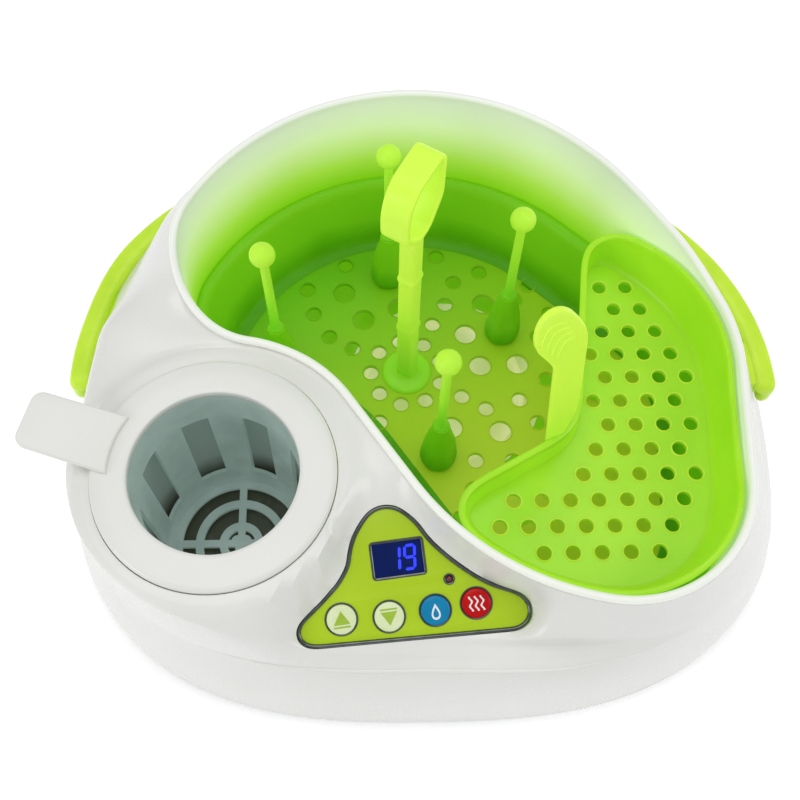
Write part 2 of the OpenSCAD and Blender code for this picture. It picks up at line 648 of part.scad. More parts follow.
// Rings of holes round the stem: radius, count, hole radius, direction of the first
hole_rings = [[18.5, 9, 3.8, -20], [31.5, 4, 3.8, 63], [38.5, 4, 5.5, 5], [38.5, 4, 5.5, 35],
    [45.5, 4, 3.8, 62], [58, 9, 5.5, 4], [60, 9, 3.8, 24], [72.5, 18, 3.8, 16], [84, 26, 3.8, 10],
    [97, 30, 3.8, 4]];
rack_holes = [for (h = hole_rings, i = [0:h[1] - 1]) let(p = stem + h[0] * unit(h[3] + 360 * i / h[1]))
    if (in_rack(p, -rack_floor_in + h[2] + 3) && clear_of(p, peg_at, socket_r + h[2] + 2)) [p, h[2]]];
module bottle_rack() color("limegreen") {
    low = rack_floor_z - rack_floor_t;
    a = chamber_path(rack_floor_in);
    b = chamber_path(rack_in);
    c = chamber_path(rack_in - rack_t);
    e = chamber_path(rack_floor_in - rack_t);
    skin([for (i = [0:len(a) - 1]) [[b[i].x, b[i].y, ledge_z + gap + 0.5], [a[i].x, a[i].y, low],
        [e[i].x, e[i].y, low], [c[i].x, c[i].y, ledge_z + gap + 0.5]]]);
    band(rack_in - rack_t, -gap - 0.6, ledge_z + gap, rack_rim_z);
    translate([0, 0, low]) linear_extrude(rack_floor_t) difference() {
        polygon(chamber_path(rack_floor_in - rack_t / 2));
        for (h = rack_holes) translate(h[0]) circle(h[1]);
        translate(stem) circle(4.2);
    }
    for (p = peg_at) at(p, rack_floor_z - eps) difference() {
        union() {
            cylinder(r1 = socket_r, r2 = socket_top_r, h = socket_h);
            for (q = [0:60:300]) rotate([0, 0, q]) translate([socket_r - 2, 0, 0])
                cylinder(r1 = 2.4, r2 = 1, h = socket_h * 0.7);
        }
        translate([0, 0, socket_h - peg_deep]) cylinder(d = peg_d + 0.1, h = 40);
    }
}
ball_r = 5.8;
module peg(i) color("greenyellow") at(peg_at[i], rack_floor_z) {
    translate([0, 0, socket_h - peg_deep]) cylinder(d = peg_d, h = peg_h - socket_h + peg_deep);
    translate([0, 0, peg_h]) sphere(ball_r);
}
module peg_right() peg(0);
module peg_back() peg(1);
module peg_left() peg(2);
module peg_front() peg(3);

loop_h = 37;
loop_w = 30;
loop_t = 3.2;
loop_depth = 12.4;
loop_a = 59;
module loop_ring(w, h) polygon(concat(
    [[w * 0.3, 0], [w, h * 0.3], [w, h * 0.88], [w * 0.86, h]],
    [[-w * 0.86, h], [-w, h * 0.88], [-w, h * 0.3], [-w * 0.3, 0]]));
module lift_stem() color("yellowgreen") at(stem, rack_floor_z) {
    cylinder(r1 = stem_foot_r, r2 = stem_foot_r - 1.5, h = 3);
    translate([0, 0, -rack_floor_t]) cylinder(r = 4, h = rack_floor_t + 2);
    rotate([0, 0, loop_a]) {
        translate([0, 0, (stem_h - loop_h + 6) / 2])
            cube([stem_w, stem_w, stem_h - loop_h + 2], center = true);
        translate([0, loop_depth / 2, stem_h - loop_h]) rotate([90, 0, 0]) linear_extrude(loop_depth)
            difference() {
                loop_ring(loop_w / 2, loop_h);
                translate([0, loop_t * 1.3]) loop_ring(loop_w / 2 - loop_t, loop_h - loop_t * 2.3);
            }
    }
}

// Accessory tray over the front right of the rack
tray_in = -2.6;
tray_t = 2;
tray_floor_t = 2.5;
module tray_shape(margin) offset(r = margin) offset(r = 14) offset(delta = -14) difference() {
    polygon(chamber_path(tray_in));
    hull() {
        translate([45, -24]) circle(20.5);
        translate([70, 130]) circle(14);
        translate([-60, -87]) circle(16);
        translate([-150, 130]) circle(20);
    }
}
// Tray holes in leaning rows, with a bare border along the walls
tray_pitch = 12.8;
tray_row = 12.2;
tray_border = 12.8;
function inside(p, path) = len([for (i = [0:len(path) - 1]) let(a = path[i], b = path[(i + 1) % len(path)])
    if ((a.y > p.y) != (b.y > p.y) && p.x < a.x + (p.y - a.y) * (b.x - a.x) / (b.y - a.y)) 1]) % 2 == 1;
tray_holes = let(edge = chamber_path(-tray_border)) [for (i = [-8:4], j = [-6:8])
    let(p = [100 + tray_pitch * (i + 0.535 * j), tray_row * j - 41.5])
    if (inside(p, edge) && p.y < 48
        && (p.x > 72.5 + (p.y + 24) * 0.11 || p * unit(-61) > 74.5)) p];
tray_foot_at = [chin + (chin_r - 5) * unit(240), lobe + (lobe_r - 5) * unit(-50),
    cheek + (cheek_r - 5) * unit(20)];
tray_handle_at = [51, -42];
tray_handle_w = 13;
module accessory_tray() color("lawngreen") {
    low = tray_floor_z - tray_floor_t;
    top = tray_floor_z + tray_wall_h;
    translate([0, 0, low]) linear_extrude(tray_floor_t) difference() {
        tray_shape(0);
        for (p = tray_holes) translate(p) circle(d = tray_hole_d);
    }
    translate([0, 0, low + eps]) linear_extrude(top - low - eps) difference() {
        tray_shape(0);
        tray_shape(-tray_t);
    }
    translate([0, 0, top - 2]) linear_extrude(2) difference() {
        tray_shape(1.2);
        tray_shape(-tray_t);
    }
    for (p = tray_foot_at) at(p, rack_rim_z + gap)
        cylinder(r = 2, h = low - rack_rim_z - gap + 1);
    at(tray_handle_at, tray_floor_z - 1) rotate([0, -5, 0]) rotate([0, 0, 22]) {
        translate([0, -1.3, 0]) cube([tray_handle_w, 2.6, tray_handle_h - 44]);
        translate([0, 1.3, tray_handle_h]) rotate([90, 0, 0]) linear_extrude(2.6) hull() {
            translate([-2.5, -7.5]) circle(7.5, $fn = 32);
            translate([-1, -19.5]) circle(9, $fn = 32);
            translate([tray_handle_w - 6, -27]) circle(6, $fn = 32);
            translate([0, -48]) square([tray_handle_w, 4]);
        }
    }
}

outer_shell();
chamber_liner();
base_plate();
rubber_feet();
base_screws();
heater_plate();
heater_seal();
heating_element();
heater_clamp();
heater_nuts();
chamber_thermostat();
warmer_pot();
warmer_heater();
warmer_sensor();
panel_bezel();
panel_face();
display_window();
display_module();
indicator_led();
control_board();
tact_switches();
board_screws();
power_board();
power_relay();
power_transformer();
terminal_block();
cord_gland();
handle_left();
handle_right();
handle_screws();
button_up();
button_down();
button_warm();
button_steam();
warmer_collar();
warmer_cup();
bottle_rack();
lift_stem();
peg_right();
peg_back();
peg_left();
peg_front();
accessory_tray();
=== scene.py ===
import bmesh
import bpy
import math
import numpy as np
from mathutils import Matrix, Vector


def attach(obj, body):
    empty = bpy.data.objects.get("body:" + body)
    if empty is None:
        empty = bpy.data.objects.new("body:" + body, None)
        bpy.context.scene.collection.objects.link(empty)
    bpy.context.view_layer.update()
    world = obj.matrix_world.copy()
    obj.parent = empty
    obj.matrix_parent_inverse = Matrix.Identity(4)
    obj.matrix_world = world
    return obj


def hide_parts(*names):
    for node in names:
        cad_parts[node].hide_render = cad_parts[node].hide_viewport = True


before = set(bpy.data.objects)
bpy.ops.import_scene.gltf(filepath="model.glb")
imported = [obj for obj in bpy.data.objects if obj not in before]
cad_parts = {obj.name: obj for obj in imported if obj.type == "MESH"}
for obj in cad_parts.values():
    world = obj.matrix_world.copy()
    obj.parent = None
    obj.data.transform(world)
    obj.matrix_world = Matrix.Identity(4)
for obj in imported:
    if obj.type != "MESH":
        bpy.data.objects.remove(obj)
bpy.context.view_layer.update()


# Photo set: a white paper sweep under a big overhead softbox, with a weaker one at each side.
# The camera stands over the front edge and looks down at 65 degrees, as the photograph does.
def linear(code, alpha=1.0):
    """sRGB hex to linear colour."""
    parts = [int(code[i:i + 2], 16) / 255 for i in (0, 2, 4)]
    return tuple(c / 12.92 if c <= 0.04045 else ((c + 0.055) / 1.055) ** 2.4 for c in parts) + (alpha,)


def add(tree, kind, puts=None, **sets):
    """Adds a node, sets its properties, and links or sets its inputs."""
    made = tree.nodes.new("ShaderNode" + kind)
    for key, value in sets.items():
        setattr(made, key, value)
    for key, value in (puts or {}).items():
        socket = made.inputs[key]
        if isinstance(value, bpy.types.NodeSocket):
            tree.links.new(value, socket)
        else:
            socket.default_value = value
    return made


def new_material(name):
    """An empty node material and its tree."""
    made = bpy.data.materials.new(name)
    made.use_nodes = True
    made.node_tree.nodes.clear()
    return made, made.node_tree


def put(name, data):
    """A new object in the scene."""
    made = bpy.data.objects.new(name, data)
    scene.collection.objects.link(made)
    return made


scene = bpy.context.scene
scene.view_settings.view_transform = "Standard"

world = bpy.data.worlds.new("white_studio")
scene.world = world
world.use_nodes = True
tree = world.node_tree
tree.nodes.clear()
path = add(tree, "LightPath")
seen = add(tree, "Math",
           {0: path.outputs["Is Camera Ray"], 1: path.outputs["Is Transmission Ray"]}, operation="MAXIMUM")
fill = add(tree, "Background", {"Color": linear("F4F6F8"), "Strength": 0.56})
paper = add(tree, "Background", {"Color": (1, 1, 1, 1), "Strength": 1.0})
both = add(tree, "MixShader", {0: seen.outputs[0], 1: fill.outputs[0], 2: paper.outputs[0]})
add(tree, "OutputWorld", {"Surface": both.outputs[0]})

for name, spot, size, power in (("overhead_softbox", (-0.1, 0.15, 1.7), 1.5, 7.3),
                                ("right_softbox", (1.5, -0.35, 1.1), 1.0, 5.8),
                                ("left_softbox", (-1.5, -0.9, 0.8), 1.0, 7.2)):
    lamp = bpy.data.lights.new(name, "AREA")
    lamp.shape = "DISK"
    lamp.size = size
    lamp.energy = power
    holder = put(name, lamp)
    holder.location = spot
    holder.rotation_euler = (Vector((0, 0, 0.08)) - Vector(spot)).to_track_quat("-Z", "Y").to_euler()

camera = bpy.data.cameras.new("photo_camera")
camera.sensor_width = 36
camera.lens = 49.5
camera.clip_end = 20
stand = put("photo_camera", camera)
pitch, yaw, roll = (math.radians(v) for v in (65, 2.5, 1.53))
ahead = Vector((math.cos(pitch) * math.sin(yaw), math.cos(pitch) * math.cos(yaw), -math.sin(pitch)))
aside = Vector((math.cos(yaw), -math.sin(yaw), 0))
above = Vector((math.sin(pitch) * math.sin(yaw), math.sin(pitch) * math.cos(yaw), math.cos(pitch)))
turn = Matrix((math.cos(roll) * aside + math.sin(roll) * above,
               math.cos(roll) * above - math.sin(roll) * aside, -ahead)).transposed().to_4x4()
turn.translation = Vector((-0.02416, -0.23174, 0.55660))
stand.matrix_world = turn
scene.camera = stand

floor_mesh = bpy.data.meshes.new("paper_floor")
floor_mesh.from_pydata([(-6, -6, 0), (6, -6, 0), (6, 6, 0), (-6, 6, 0)], [], [(0, 1, 2, 3)])
floor = put("paper_floor", floor_mesh)

# Matt white paper: fibres about 1.1 mm apart give it a faint tooth, and it stays white to the camera.
card, tree = new_material("white_paper_sweep")
where = add(tree, "TexCoord")
fibre = add(tree, "TexNoise", {"Vector": where.outputs["Object"], "Scale": 900.0})
tone = add(tree, "ValToRGB", {"Fac": fibre.outputs["Fac"]})
tone.color_ramp.elements[0].color = linear("FAFAFA")
tone.color_ramp.elements[1].color = linear("FFFFFF")
matt = add(tree, "BsdfDiffuse", {"Color": tone.outputs["Color"]})
path = add(tree, "LightPath")
seen = add(tree, "Math",
           {0: path.outputs["Is Camera Ray"], 1: path.outputs["Is Glossy Ray"]}, operation="MAXIMUM")
seen = add(tree, "Math", {0: seen.outputs[0], 1: 0.28}, operation="MULTIPLY")
lifted = add(tree, "Emission", {"Color": (1, 1, 1, 1), "Strength": seen.outputs[0]})
both = add(tree, "AddShader", {0: matt.outputs[0], 1: lifted.outputs[0]})
add(tree, "OutputMaterial", {"Surface": both.outputs[0]})
floor_mesh.materials.append(card)


# Outer shell: one glossy white ABS moulding that stands on the base plate. A low deck with the
# warmer and the panel runs round the front left, and the flanks bulge out to a vertical skirt.
def unit(degrees):
    turned = np.radians(np.asarray(degrees, float))
    return np.stack([np.cos(turned), np.sin(turned)], -1)


def mix(a, b, t):
    return a + (b - a) * t


def ease(t):
    t = np.clip(t, 0, 1)
    return t * t * (3 - 2 * t)


def heading(v):
    return np.degrees(np.arctan2(v[..., 1], v[..., 0])) % 360


def sweep(centre, radius, start, end, steps):
    return centre + radius * unit(np.linspace(start, end, steps + 1))


bowl, bowl_r = np.array((-8, 5.0)), 115
chin, chin_r = np.array((91.5, 4.0)), 121.5
cheek, cheek_r = np.array((55.5, -8.5)), 81.5
bite, bite_r = np.array((-92, -62.0)), 67
corner_r, lobe_r, chin_end = 37, 54, 260
warmer = np.array((-95, -61.0))

span = np.linalg.norm(bite - bowl)
along = ((bowl_r - corner_r) ** 2 - (bite_r + corner_r) ** 2 + span ** 2) / (2 * span)
lean = (bite - bowl) / span
corner = bowl + along * lean + math.sqrt((bowl_r - corner_r) ** 2 - along ** 2) * np.array((lean[1], -lean[0]))
corner_start, corner_end = heading(corner - bowl), heading(bite - corner)
waist = heading(chin - bite) + math.degrees(math.acos((bite_r + chin_r) / np.linalg.norm(chin - bite)))
lobe = chin + (chin_r - lobe_r) * unit(chin_end)
cheek_start = heading(cheek - lobe) - math.degrees(math.acos((lobe_r - cheek_r) / np.linalg.norm(cheek - lobe)))
cheek_end = heading(bowl - cheek) - math.degrees(math.acos((cheek_r - bowl_r) / np.linalg.norm(bowl - cheek)))


def chamber(out):
    """Outline of the steam chamber, moved outwards by so many mm; always the same number of points."""
    runs = [sweep(bowl, bowl_r + out, cheek_end, corner_start, 120),
            sweep(corner, corner_r + out, corner_start, corner_end, 36)[1:],
            sweep(bite, bite_r - out, corner_end - 180, waist, 60)[1:]]
    chin_run = sweep(chin, chin_r + out, waist + 180, chin_end, 56)
    runs += [mix(runs[2][-1], chin_run[0], np.linspace(0, 1, 25)[1:-1, None]), chin_run,
             sweep(lobe, lobe_r + out, chin_end, cheek_start + 360, 56)[1:]]
    cheek_run = sweep(cheek, cheek_r + out, cheek_start, cheek_end, 30)
    runs += [mix(runs[-1][-1], cheek_run[0], np.linspace(0, 1, 4)[1:-1, None]), cheek_run,
             mix(cheek_run[-1], runs[0][0], np.linspace(0, 1, 24)[1:-1, None])]
    return np.concatenate(runs)


rim_skew = math.radians(-7)


def rim_height(p):
    """The rim is low at the front and sweeps up to the back, a little askew."""
    u = p[..., 0] * math.sin(rim_skew) + p[..., 1] * math.cos(rim_skew)
    return mix(119, 120, np.clip((u + 115) / 120, 0, 1)) + 25 * ease((u - 5) / 71)


half_w, half_d, squareness = 182, 148, 2.65


def base_outline(a, inset):
    """The foot of the skirt, a squarish ellipse, moved inwards by so many mm."""
    cx = np.abs(np.cos(np.radians(a))) / (half_w - inset)
    cy = np.abs(np.sin(np.radians(a))) / (half_d - inset)
    return ((cx ** squareness + cy ** squareness) ** (-1 / squareness))[:, None] * unit(a)


def soft_table(a, pairs):
    """Reads a table of direction and size, rounded off over a dozen degrees."""
    grid = np.arange(-60.0, 421)
    raw = np.interp(grid, *zip(*pairs))
    bell = np.exp(-0.5 * (np.arange(-20, 21) / 5.5) ** 2)
    return np.interp(a, grid[20:-20], np.convolve(raw, bell / bell.sum(), "valid"))


def pass_through(points, steps):
    """Smooth curve through the points of each rib that never overshoots them."""
    n, m = points.shape[:2]
    t = np.concatenate([np.zeros((n, 1)), np.cumsum(np.maximum(
        np.linalg.norm(np.diff(points, axis=1), axis=2), 1e-3), axis=1)], 1)[..., None]
    h = np.diff(t, axis=1)
    rise = np.diff(points, axis=1) / h
    slope = np.zeros_like(points)
    slope[:, 0], slope[:, -1] = rise[:, 0], rise[:, -1]
    a, b = rise[:, :-1], rise[:, 1:]
    w1, w2 = 2 * h[:, 1:] + h[:, :-1], h[:, 1:] + 2 * h[:, :-1]
    same = a * b > 0
    blend = np.where(same, w1 / np.where(same, a, 1) + w2 / np.where(same, b, 1), 1)
    slope[:, 1:-1] = np.where(same, (w1 + w2) / blend, 0)
    rows = []
    for j, count in enumerate(steps):
        for s in np.arange(count) / count:
            rows.append((2 * s ** 3 - 3 * s ** 2 + 1) * points[:, j]
                        + (s ** 3 - 2 * s ** 2 + s) * h[:, j] * slope[:, j]
                        + (3 * s ** 2 - 2 * s ** 3) * points[:, j + 1]
                        + (s ** 3 - s ** 2) * h[:, j] * slope[:, j + 1])
    return np.stack(rows + [points[:, -1]], 1)


def skin(rings, round_n=True, round_m=False):
    """Points and faces of a skin over a grid of points, closed in one direction or in both."""
    rings = np.asarray(rings, float)
    n, m = rings.shape[:2]
    faces = []
    for i in range(n if round_n else n - 1):
        for j in range(m if round_m else m - 1):
            k, l = (i + 1) % n, (j + 1) % m
            faces.append((i * m + j, k * m + j, k * m + l, i * m + l))
    return rings.reshape(-1, 3), faces


def mesh_of(name, points, faces):
    """A mesh from points in mm, with its faces turned outwards."""
    mesh = bpy.data.meshes.new(name)
    mesh.from_pydata([tuple(p) for p in np.asarray(points) * 0.001], [], faces)
    work = bmesh.new()
    work.from_mesh(mesh)
    bmesh.ops.remove_doubles(work, verts=work.verts, dist=1e-6)
    bmesh.ops.recalc_face_normals(work, faces=work.faces)
    work.to_mesh(mesh)
    work.free()
    return mesh


def piece(name, parts, material, body, stands_for=(), crisp=40):
    """Joins (points in mm, faces) into one smooth shaded mesh that rides on a body."""
    points, faces = [], []
    for part_points, part_faces in parts:
        faces += [tuple(len(points) + i for i in f) for f in part_faces]
        points += list(part_points)
    made = put(name, mesh_of(name, points, faces))
    finish_mesh(made, material, crisp)
    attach(made, body)
    if stands_for:
        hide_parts(*stands_for)
    return made


def finish_mesh(made, material, crisp):
    made.data.materials.clear()
    made.data.materials.append(material)
    made.data.polygons.foreach_set("use_smooth", [True] * len(made.data.polygons))
    made.data.set_sharp_from_angle(angle=math.radians(crisp))
    made.data.update()


def moulded(name, shade, deep, gloss, patch_mm=30.0, grain_mm=0.7, bump=0.02, **sockets):
    """Moulded plastic: the colour drifts over centimetres, and a fine grain breaks up the gloss."""
    made, tree = new_material(name)
    where = add(tree, "TexCoord").outputs["Object"]
    patch = add(tree, "TexNoise", {"Vector": where, "Scale": 1000 / patch_mm, "Detail": 3.0})
    tone = add(tree, "ValToRGB", {"Fac": patch.outputs["Fac"]})
    tone.color_ramp.elements[0].position, tone.color_ramp.elements[1].position = 0.3, 0.7
    tone.color_ramp.elements[0].color, tone.color_ramp.elements[1].color = linear(deep), linear(shade)
    grain = add(tree, "TexNoise", {"Vector": where, "Scale": 1000 / grain_mm, "Detail": 2.0})
    shine = add(tree, "MapRange",
                {"Value": grain.outputs["Fac"], "To Min": gloss * 0.85, "To Max": gloss * 1.15})
    relief = add(tree, "Bump", {"Height": grain.outputs["Fac"], "Strength": 0.15, "Distance": bump * 0.001})
    surface = add(tree, "BsdfPrincipled",
                  {"Base Color": tone.outputs["Color"], "Roughness": shine.outputs["Result"],
                   "Normal": relief.outputs["Normal"], **{k.replace("_", " "): v for k, v in sockets.items()}})
    add(tree, "OutputMaterial", {"Surface": surface.outputs[0]})
    return made


# Glossy white ABS: a clean moulded skin with a broad soft highlight and hardly any grain.
white_abs = moulded("white_abs_gloss", "EDECE8", "E8E7E2", 0.26, 60, 0.8, 0.01, IOR=1.5)

rim_ledge, rim_drop, shell_t, foot_z = 3.9, 2.9, 2.6, 4.0
panel_o = np.array((-9.5, -125.7, 86.5))
panel_turn = (Matrix.Translation(Vector(panel_o)) @ Matrix.Rotation(math.radians(7), 4, "Z")
              @ Matrix.Rotation(math.radians(22), 4, "X"))
panel_axes = np.array(panel_turn.to_3x3())


def on_panel(points):
    """Points given along, up and out of the panel, as points of the object."""
    return np.asarray(points, float) @ panel_axes.T + panel_o


def rounded(points, width):
    """Rounds off a closed outline over a width in points."""
    bell = np.exp(-0.5 * (np.arange(-3 * int(width), 3 * int(width) + 1) / width) ** 2)
    bell /= bell.sum()
    k = len(bell) // 2
    wrapped = np.concatenate([points[-k:], points, points[:k]])
    return np.stack([np.convolve(wrapped[:, c], bell, "valid") for c in range(points.shape[1])], 1)


def spaced(points, step):
    """The same closed outline with points at an even spacing."""
    ring = np.concatenate([points, points[:1]])
    run = np.concatenate([[0], np.cumsum(np.linalg.norm(np.diff(ring, axis=0), axis=1))])
    count = max(8, int(round(run[-1] / step)))
    at = np.linspace(0, run[-1], count + 1)[:count]
    return np.stack([np.interp(at, run, ring[:, c]) for c in range(points.shape[1])], 1)


def outward(points):
    """Which way is out at each point of a closed outline that runs anticlockwise."""
    step = np.roll(points, -1, 0) - np.roll(points, 1, 0)
    return np.stack([step[:, 1], -step[:, 0]], 1) / np.linalg.norm(step, axis=1)[:, None]


def grown(points, out):
    return points + np.reshape(out, (-1, 1)) * outward(points)


def gap(outline, q):
    return np.min(np.hypot(*(outline - q).T))


def inside(points, outline):
    """Which of the points lie inside a closed outline."""
    found = np.zeros(len(points), bool)
    for p, q in zip(outline, np.roll(outline, -1, 0)):
        hit = (p[1] > points[:, 1]) != (q[1] > points[:, 1])
        found ^= hit & (points[:, 0] < p[0] + (points[:, 1] - p[1]) * (q[0] - p[0]) / ((q[1] - p[1]) or 1e-9))
    return found


def node_loops(node, to_plane, level):
    """Closed outlines of a CAD node's flat face at one level, the largest first, all anticlockwise."""
    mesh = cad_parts[node].data
    points = np.empty(len(mesh.vertices) * 3)
    mesh.vertices.foreach_get("co", points)
    points = to_plane(points.reshape(-1, 3) * 1000)
    names, flat, places = {}, {}, {}
    ids = [names.setdefault(tuple(k), len(names)) for k in np.round(points, 3).tolist()]
    for face in mesh.polygons:
        corners = list(face.vertices)
        if all(abs(points[c, 2] - level) < 0.02 for c in corners):
            for a, b in zip(corners, corners[1:] + corners[:1]):
                flat[ids[a], ids[b]] = True
                places[ids[a]], places[ids[b]] = points[a, :2], points[b, :2]
    ends = {a: b for a, b in flat if (b, a) not in flat}
    loops = []
    while ends:
        first, at = ends.popitem()
        loop = [places[first]]
        while at != first and at in ends:
            loop.append(places[at])
            at = ends.pop(at)
        loops.append(np.array(loop if area(np.array(loop)) > 0 else loop[::-1]))
    return sorted(loops, key=area, reverse=True)


def area(q):
    return 0.5 * float(np.sum(q[:, 0] * np.roll(q[:, 1], -1) - np.roll(q[:, 0], -1) * q[:, 1]))


# The panel's outline: the CAD plate's, with the softer corners and the leaning top of the real one.
panel_edge = node_loops("panel_face", lambda p: (p - panel_o) @ panel_axes, 0.0)[0]
panel_edge = rounded(spaced(panel_edge, 0.8), 2.0)
up = panel_edge[:, 1]
panel_edge[:, 0] += np.where(panel_edge[:, 0] > -2, -4.2 * ease((up - 22) / 28),
                             2.2 * np.exp(-((up - 24) / 11) ** 2) - 4.2 * ease((up - 33) / 14))
panel_edge[:, 1] += 1.4 * ease((up - 40) / 12)
panel_edge[:, 0] -= 2.4 * ease((-36 - panel_edge[:, 0]) / 12)
panel_edge = rounded(spaced(panel_edge, 0.8), 2.0)

# Heights and insets of the deck and the skirt by direction, in degrees and mm.
outer = chamber(rim_ledge)
inner = chamber(2.5)
a = heading(outer)
top = rim_height(outer) - rim_drop
w = (ease((a - 157.5) / 18) * ease((316 - a) / 26))[:, None]
edge = base_outline(a, soft_table(a, ((150, 36), (180, 29), (202, 20), (213, 13), (231, 17), (250, 21),
                                      (265, 22), (285, 19), (300, 13), (316, 8))))
edge_z = soft_table(a, ((150, 113), (231, 112), (240, 107), (254, 92), (266, 86), (300, 87), (330, 90)))
fold = base_outline(a, soft_table(a, ((150, 22), (180, 18), (202, 12), (213, 7), (231, 8), (250, 10),
                                      (265, 11), (285, 9), (300, 6), (316, 4))))
bend = 1.7 - 0.6 * np.where(a > 180, ease((a - 330) / 25), ease((65 - a) / 25))
front = np.where(a > 180, 1 - ease((a - 318) / 35), 0)
from_pocket = np.minimum(abs(a - 17), abs(a - 159))
dent = 13 * ease((11 - from_pocket) / 5)
tuck = 2.5 * np.exp(-((a - 154) / 7) ** 2)
foot = base_outline(a, 0)


def raised(plan, z):
    return np.concatenate([plan, np.broadcast_to(z, plan.shape[:1])[:, None]], 1)


def flank(z, dented=0.0):
    share = 1 - ((z - foot_z) / (top - foot_z)) ** bend
    return raised(mix(outer, foot, share[:, None]) - (dented * np.ones_like(a))[:, None] * unit(a), z)


low_edge, low_fold = raised(edge, edge_z - 3), raised(fold, 78.0)
steps = (8, 8, 14, 6, 12, 18, 3, 3)


def shell_rows(pocket):
    return pass_through(np.stack([
        raised(outer, top),
        mix(flank(mix(top, foot_z, 0.1)), raised(mix(outer, edge, 0.5), mix(top, edge_z, 0.42)), w),
        mix(flank(mix(top, foot_z, 0.22), tuck), raised(mix(outer, edge, 0.9), mix(top, edge_z, 0.82)), w),
        mix(flank(mix(72.5, 83, front), tuck), low_edge, w),
        mix(flank(mix(70.5, 80.5, front), pocket), mix(low_edge, low_fold, 0.5), w),
        mix(flank(mix(46.0, 78, front), pocket / 2), low_fold, w),
        raised(foot, 10.0), raised(foot, 5.0), raised(base_outline(a, 0.8), foot_z)], 1), steps)


# The finger pockets lie below the handles' webs, and the flank above them runs on smoothly.
web_row, handle_row, fold_row = (sum(steps[:n]) for n in (3, 4, 5))
wall = shell_rows(dent)
wall[:, :web_row] = shell_rows(0 * dent)[:, :web_row]

# The deck swells up round the warmer's collar, and lies level with the panel round its edge.
away = np.linalg.norm(wall[..., :2] - warmer, axis=2)
boss_z, boss_r = 118.6, 55.5
short = boss_z - np.maximum(0, away - boss_r) ** 2 / 13 - wall[..., 2]
lift = np.clip(np.maximum(short, 0) + 1.2 * np.exp(-(short / 3) ** 2), 0, None)
near = ease((80 - away) / 8) * ease((wall[..., 2] - 78) / 10)
run = np.cumsum(np.linalg.norm(np.diff(wall, axis=1, prepend=wall[:, :1]), axis=2), axis=1)
wall[..., 2] += lift * near * ease((run - 0.4) / 3)
deck_z = panel_o[2] - ((wall[..., 0] - panel_o[0]) * panel_axes[0, 2]
                       + (wall[..., 1] - panel_o[1]) * panel_axes[1, 2]) / panel_axes[2, 2]
flat_uv = (np.stack([wall[..., 0], wall[..., 1], deck_z], -1) - panel_o) @ panel_axes
gap_to_panel = np.full(run.shape, 99.0)
close = np.all((flat_uv[..., :2] > (-75, -12)) & (flat_uv[..., :2] < 80), axis=-1)
probe = flat_uv[close][:, :2]
apart = np.array([gap(panel_edge, q) for q in probe])
gap_to_panel[close] = np.where(inside(probe, panel_edge), -apart, apart)
hold = (1 - ease((gap_to_panel - 2.6) / 9)) * ease((run - 0.3) / 4) * ease((wall[..., 2] - 74) / 6)
wall[..., 2] = mix(wall[..., 2], deck_z + 0.35, hold)

# Between the boss and the panel the deck is blended into one soft hollow.
soft = (ease((gap_to_panel - 2) / 5) * ease((50 - gap_to_panel) / 20) * ease((away - 61) / 10)
        * ease((run - 2) / 6) * ease((wall[..., 2] - 76) / 6))
for _ in range(12):
    level = (np.roll(wall, 1, 0) + np.roll(wall, -1, 0) + np.roll(wall, 1, 1) + np.roll(wall, -1, 1)) / 4
    wall[..., 2] = mix(wall[..., 2], level[..., 2], soft)

# A fine raised line closes the top of the front skirt and fades out at both ends.
front_line = np.flatnonzero((a > 230) & (a < 308))
front_line = front_line[np.argsort(a[front_line])]
line_r = 0.05 + 1.05 * ease((a[front_line] - 230) / 24) * ease((308 - a[front_line]) / 24)
line_rings = [[wall[i, fold_row] + r * np.append(c * unit(a[i]), s) for c, s in unit(np.arange(12) * 30)]
              for i, r in zip(front_line, line_r)]
piece("outer_shell_front_line", [skin(line_rings, False, True)], white_abs, "base", crisp=60)

thick = np.minimum(0.9 + run * 0.25, shell_t)[..., None]
back = wall.copy()
back[..., :2] -= thick * unit(a)[:, None]
roof = np.zeros(run.shape)
roof[:, web_row - 3:handle_row + 3] = ease((14 - from_pocket) / 3.5)[:, None]
upper = wall[..., 2] > 12
back[..., 2] += np.where(upper, shell_t * (2 * roof - 1), 0)
back[..., 2] = np.where(upper, np.maximum(back[..., 2], foot_z + 1), back[..., 2])
lid = raised(inner, rim_height(inner) - rim_drop)
under = raised(inner, rim_height(inner) - rim_drop - shell_t)
shell = piece("outer_shell_moulding", [skin(np.concatenate(
    [lid[:, None], wall, back[:, ::-1], under[:, None]], 1), True, True)],
    white_abs, "base", ["outer_shell"], 34)


def evaluated(made):
    """The mesh of an object as its modifiers or curve settings make it."""
    bpy.context.view_layer.update()
    return bpy.data.meshes.new_from_object(made.evaluated_get(bpy.context.evaluated_depsgraph_get()))


def cut_from(target, cutters, material, crisp):
    """Cuts closed meshes out of a piece and keeps the result as its mesh."""
    for points, faces in cutters:
        mesh = mesh_of("cutter", points, faces)
        tool = put("cutter", mesh)
        trim = target.modifiers.new("cut", "BOOLEAN")
        trim.operation, trim.solver, trim.object = "DIFFERENCE", "EXACT", tool
        made = evaluated(target)
        target.modifiers.clear()
        old, target.data = target.data, made
        bpy.data.meshes.remove(old)
        bpy.data.objects.remove(tool)
        bpy.data.meshes.remove(mesh)
    finish_mesh(target, material, crisp)


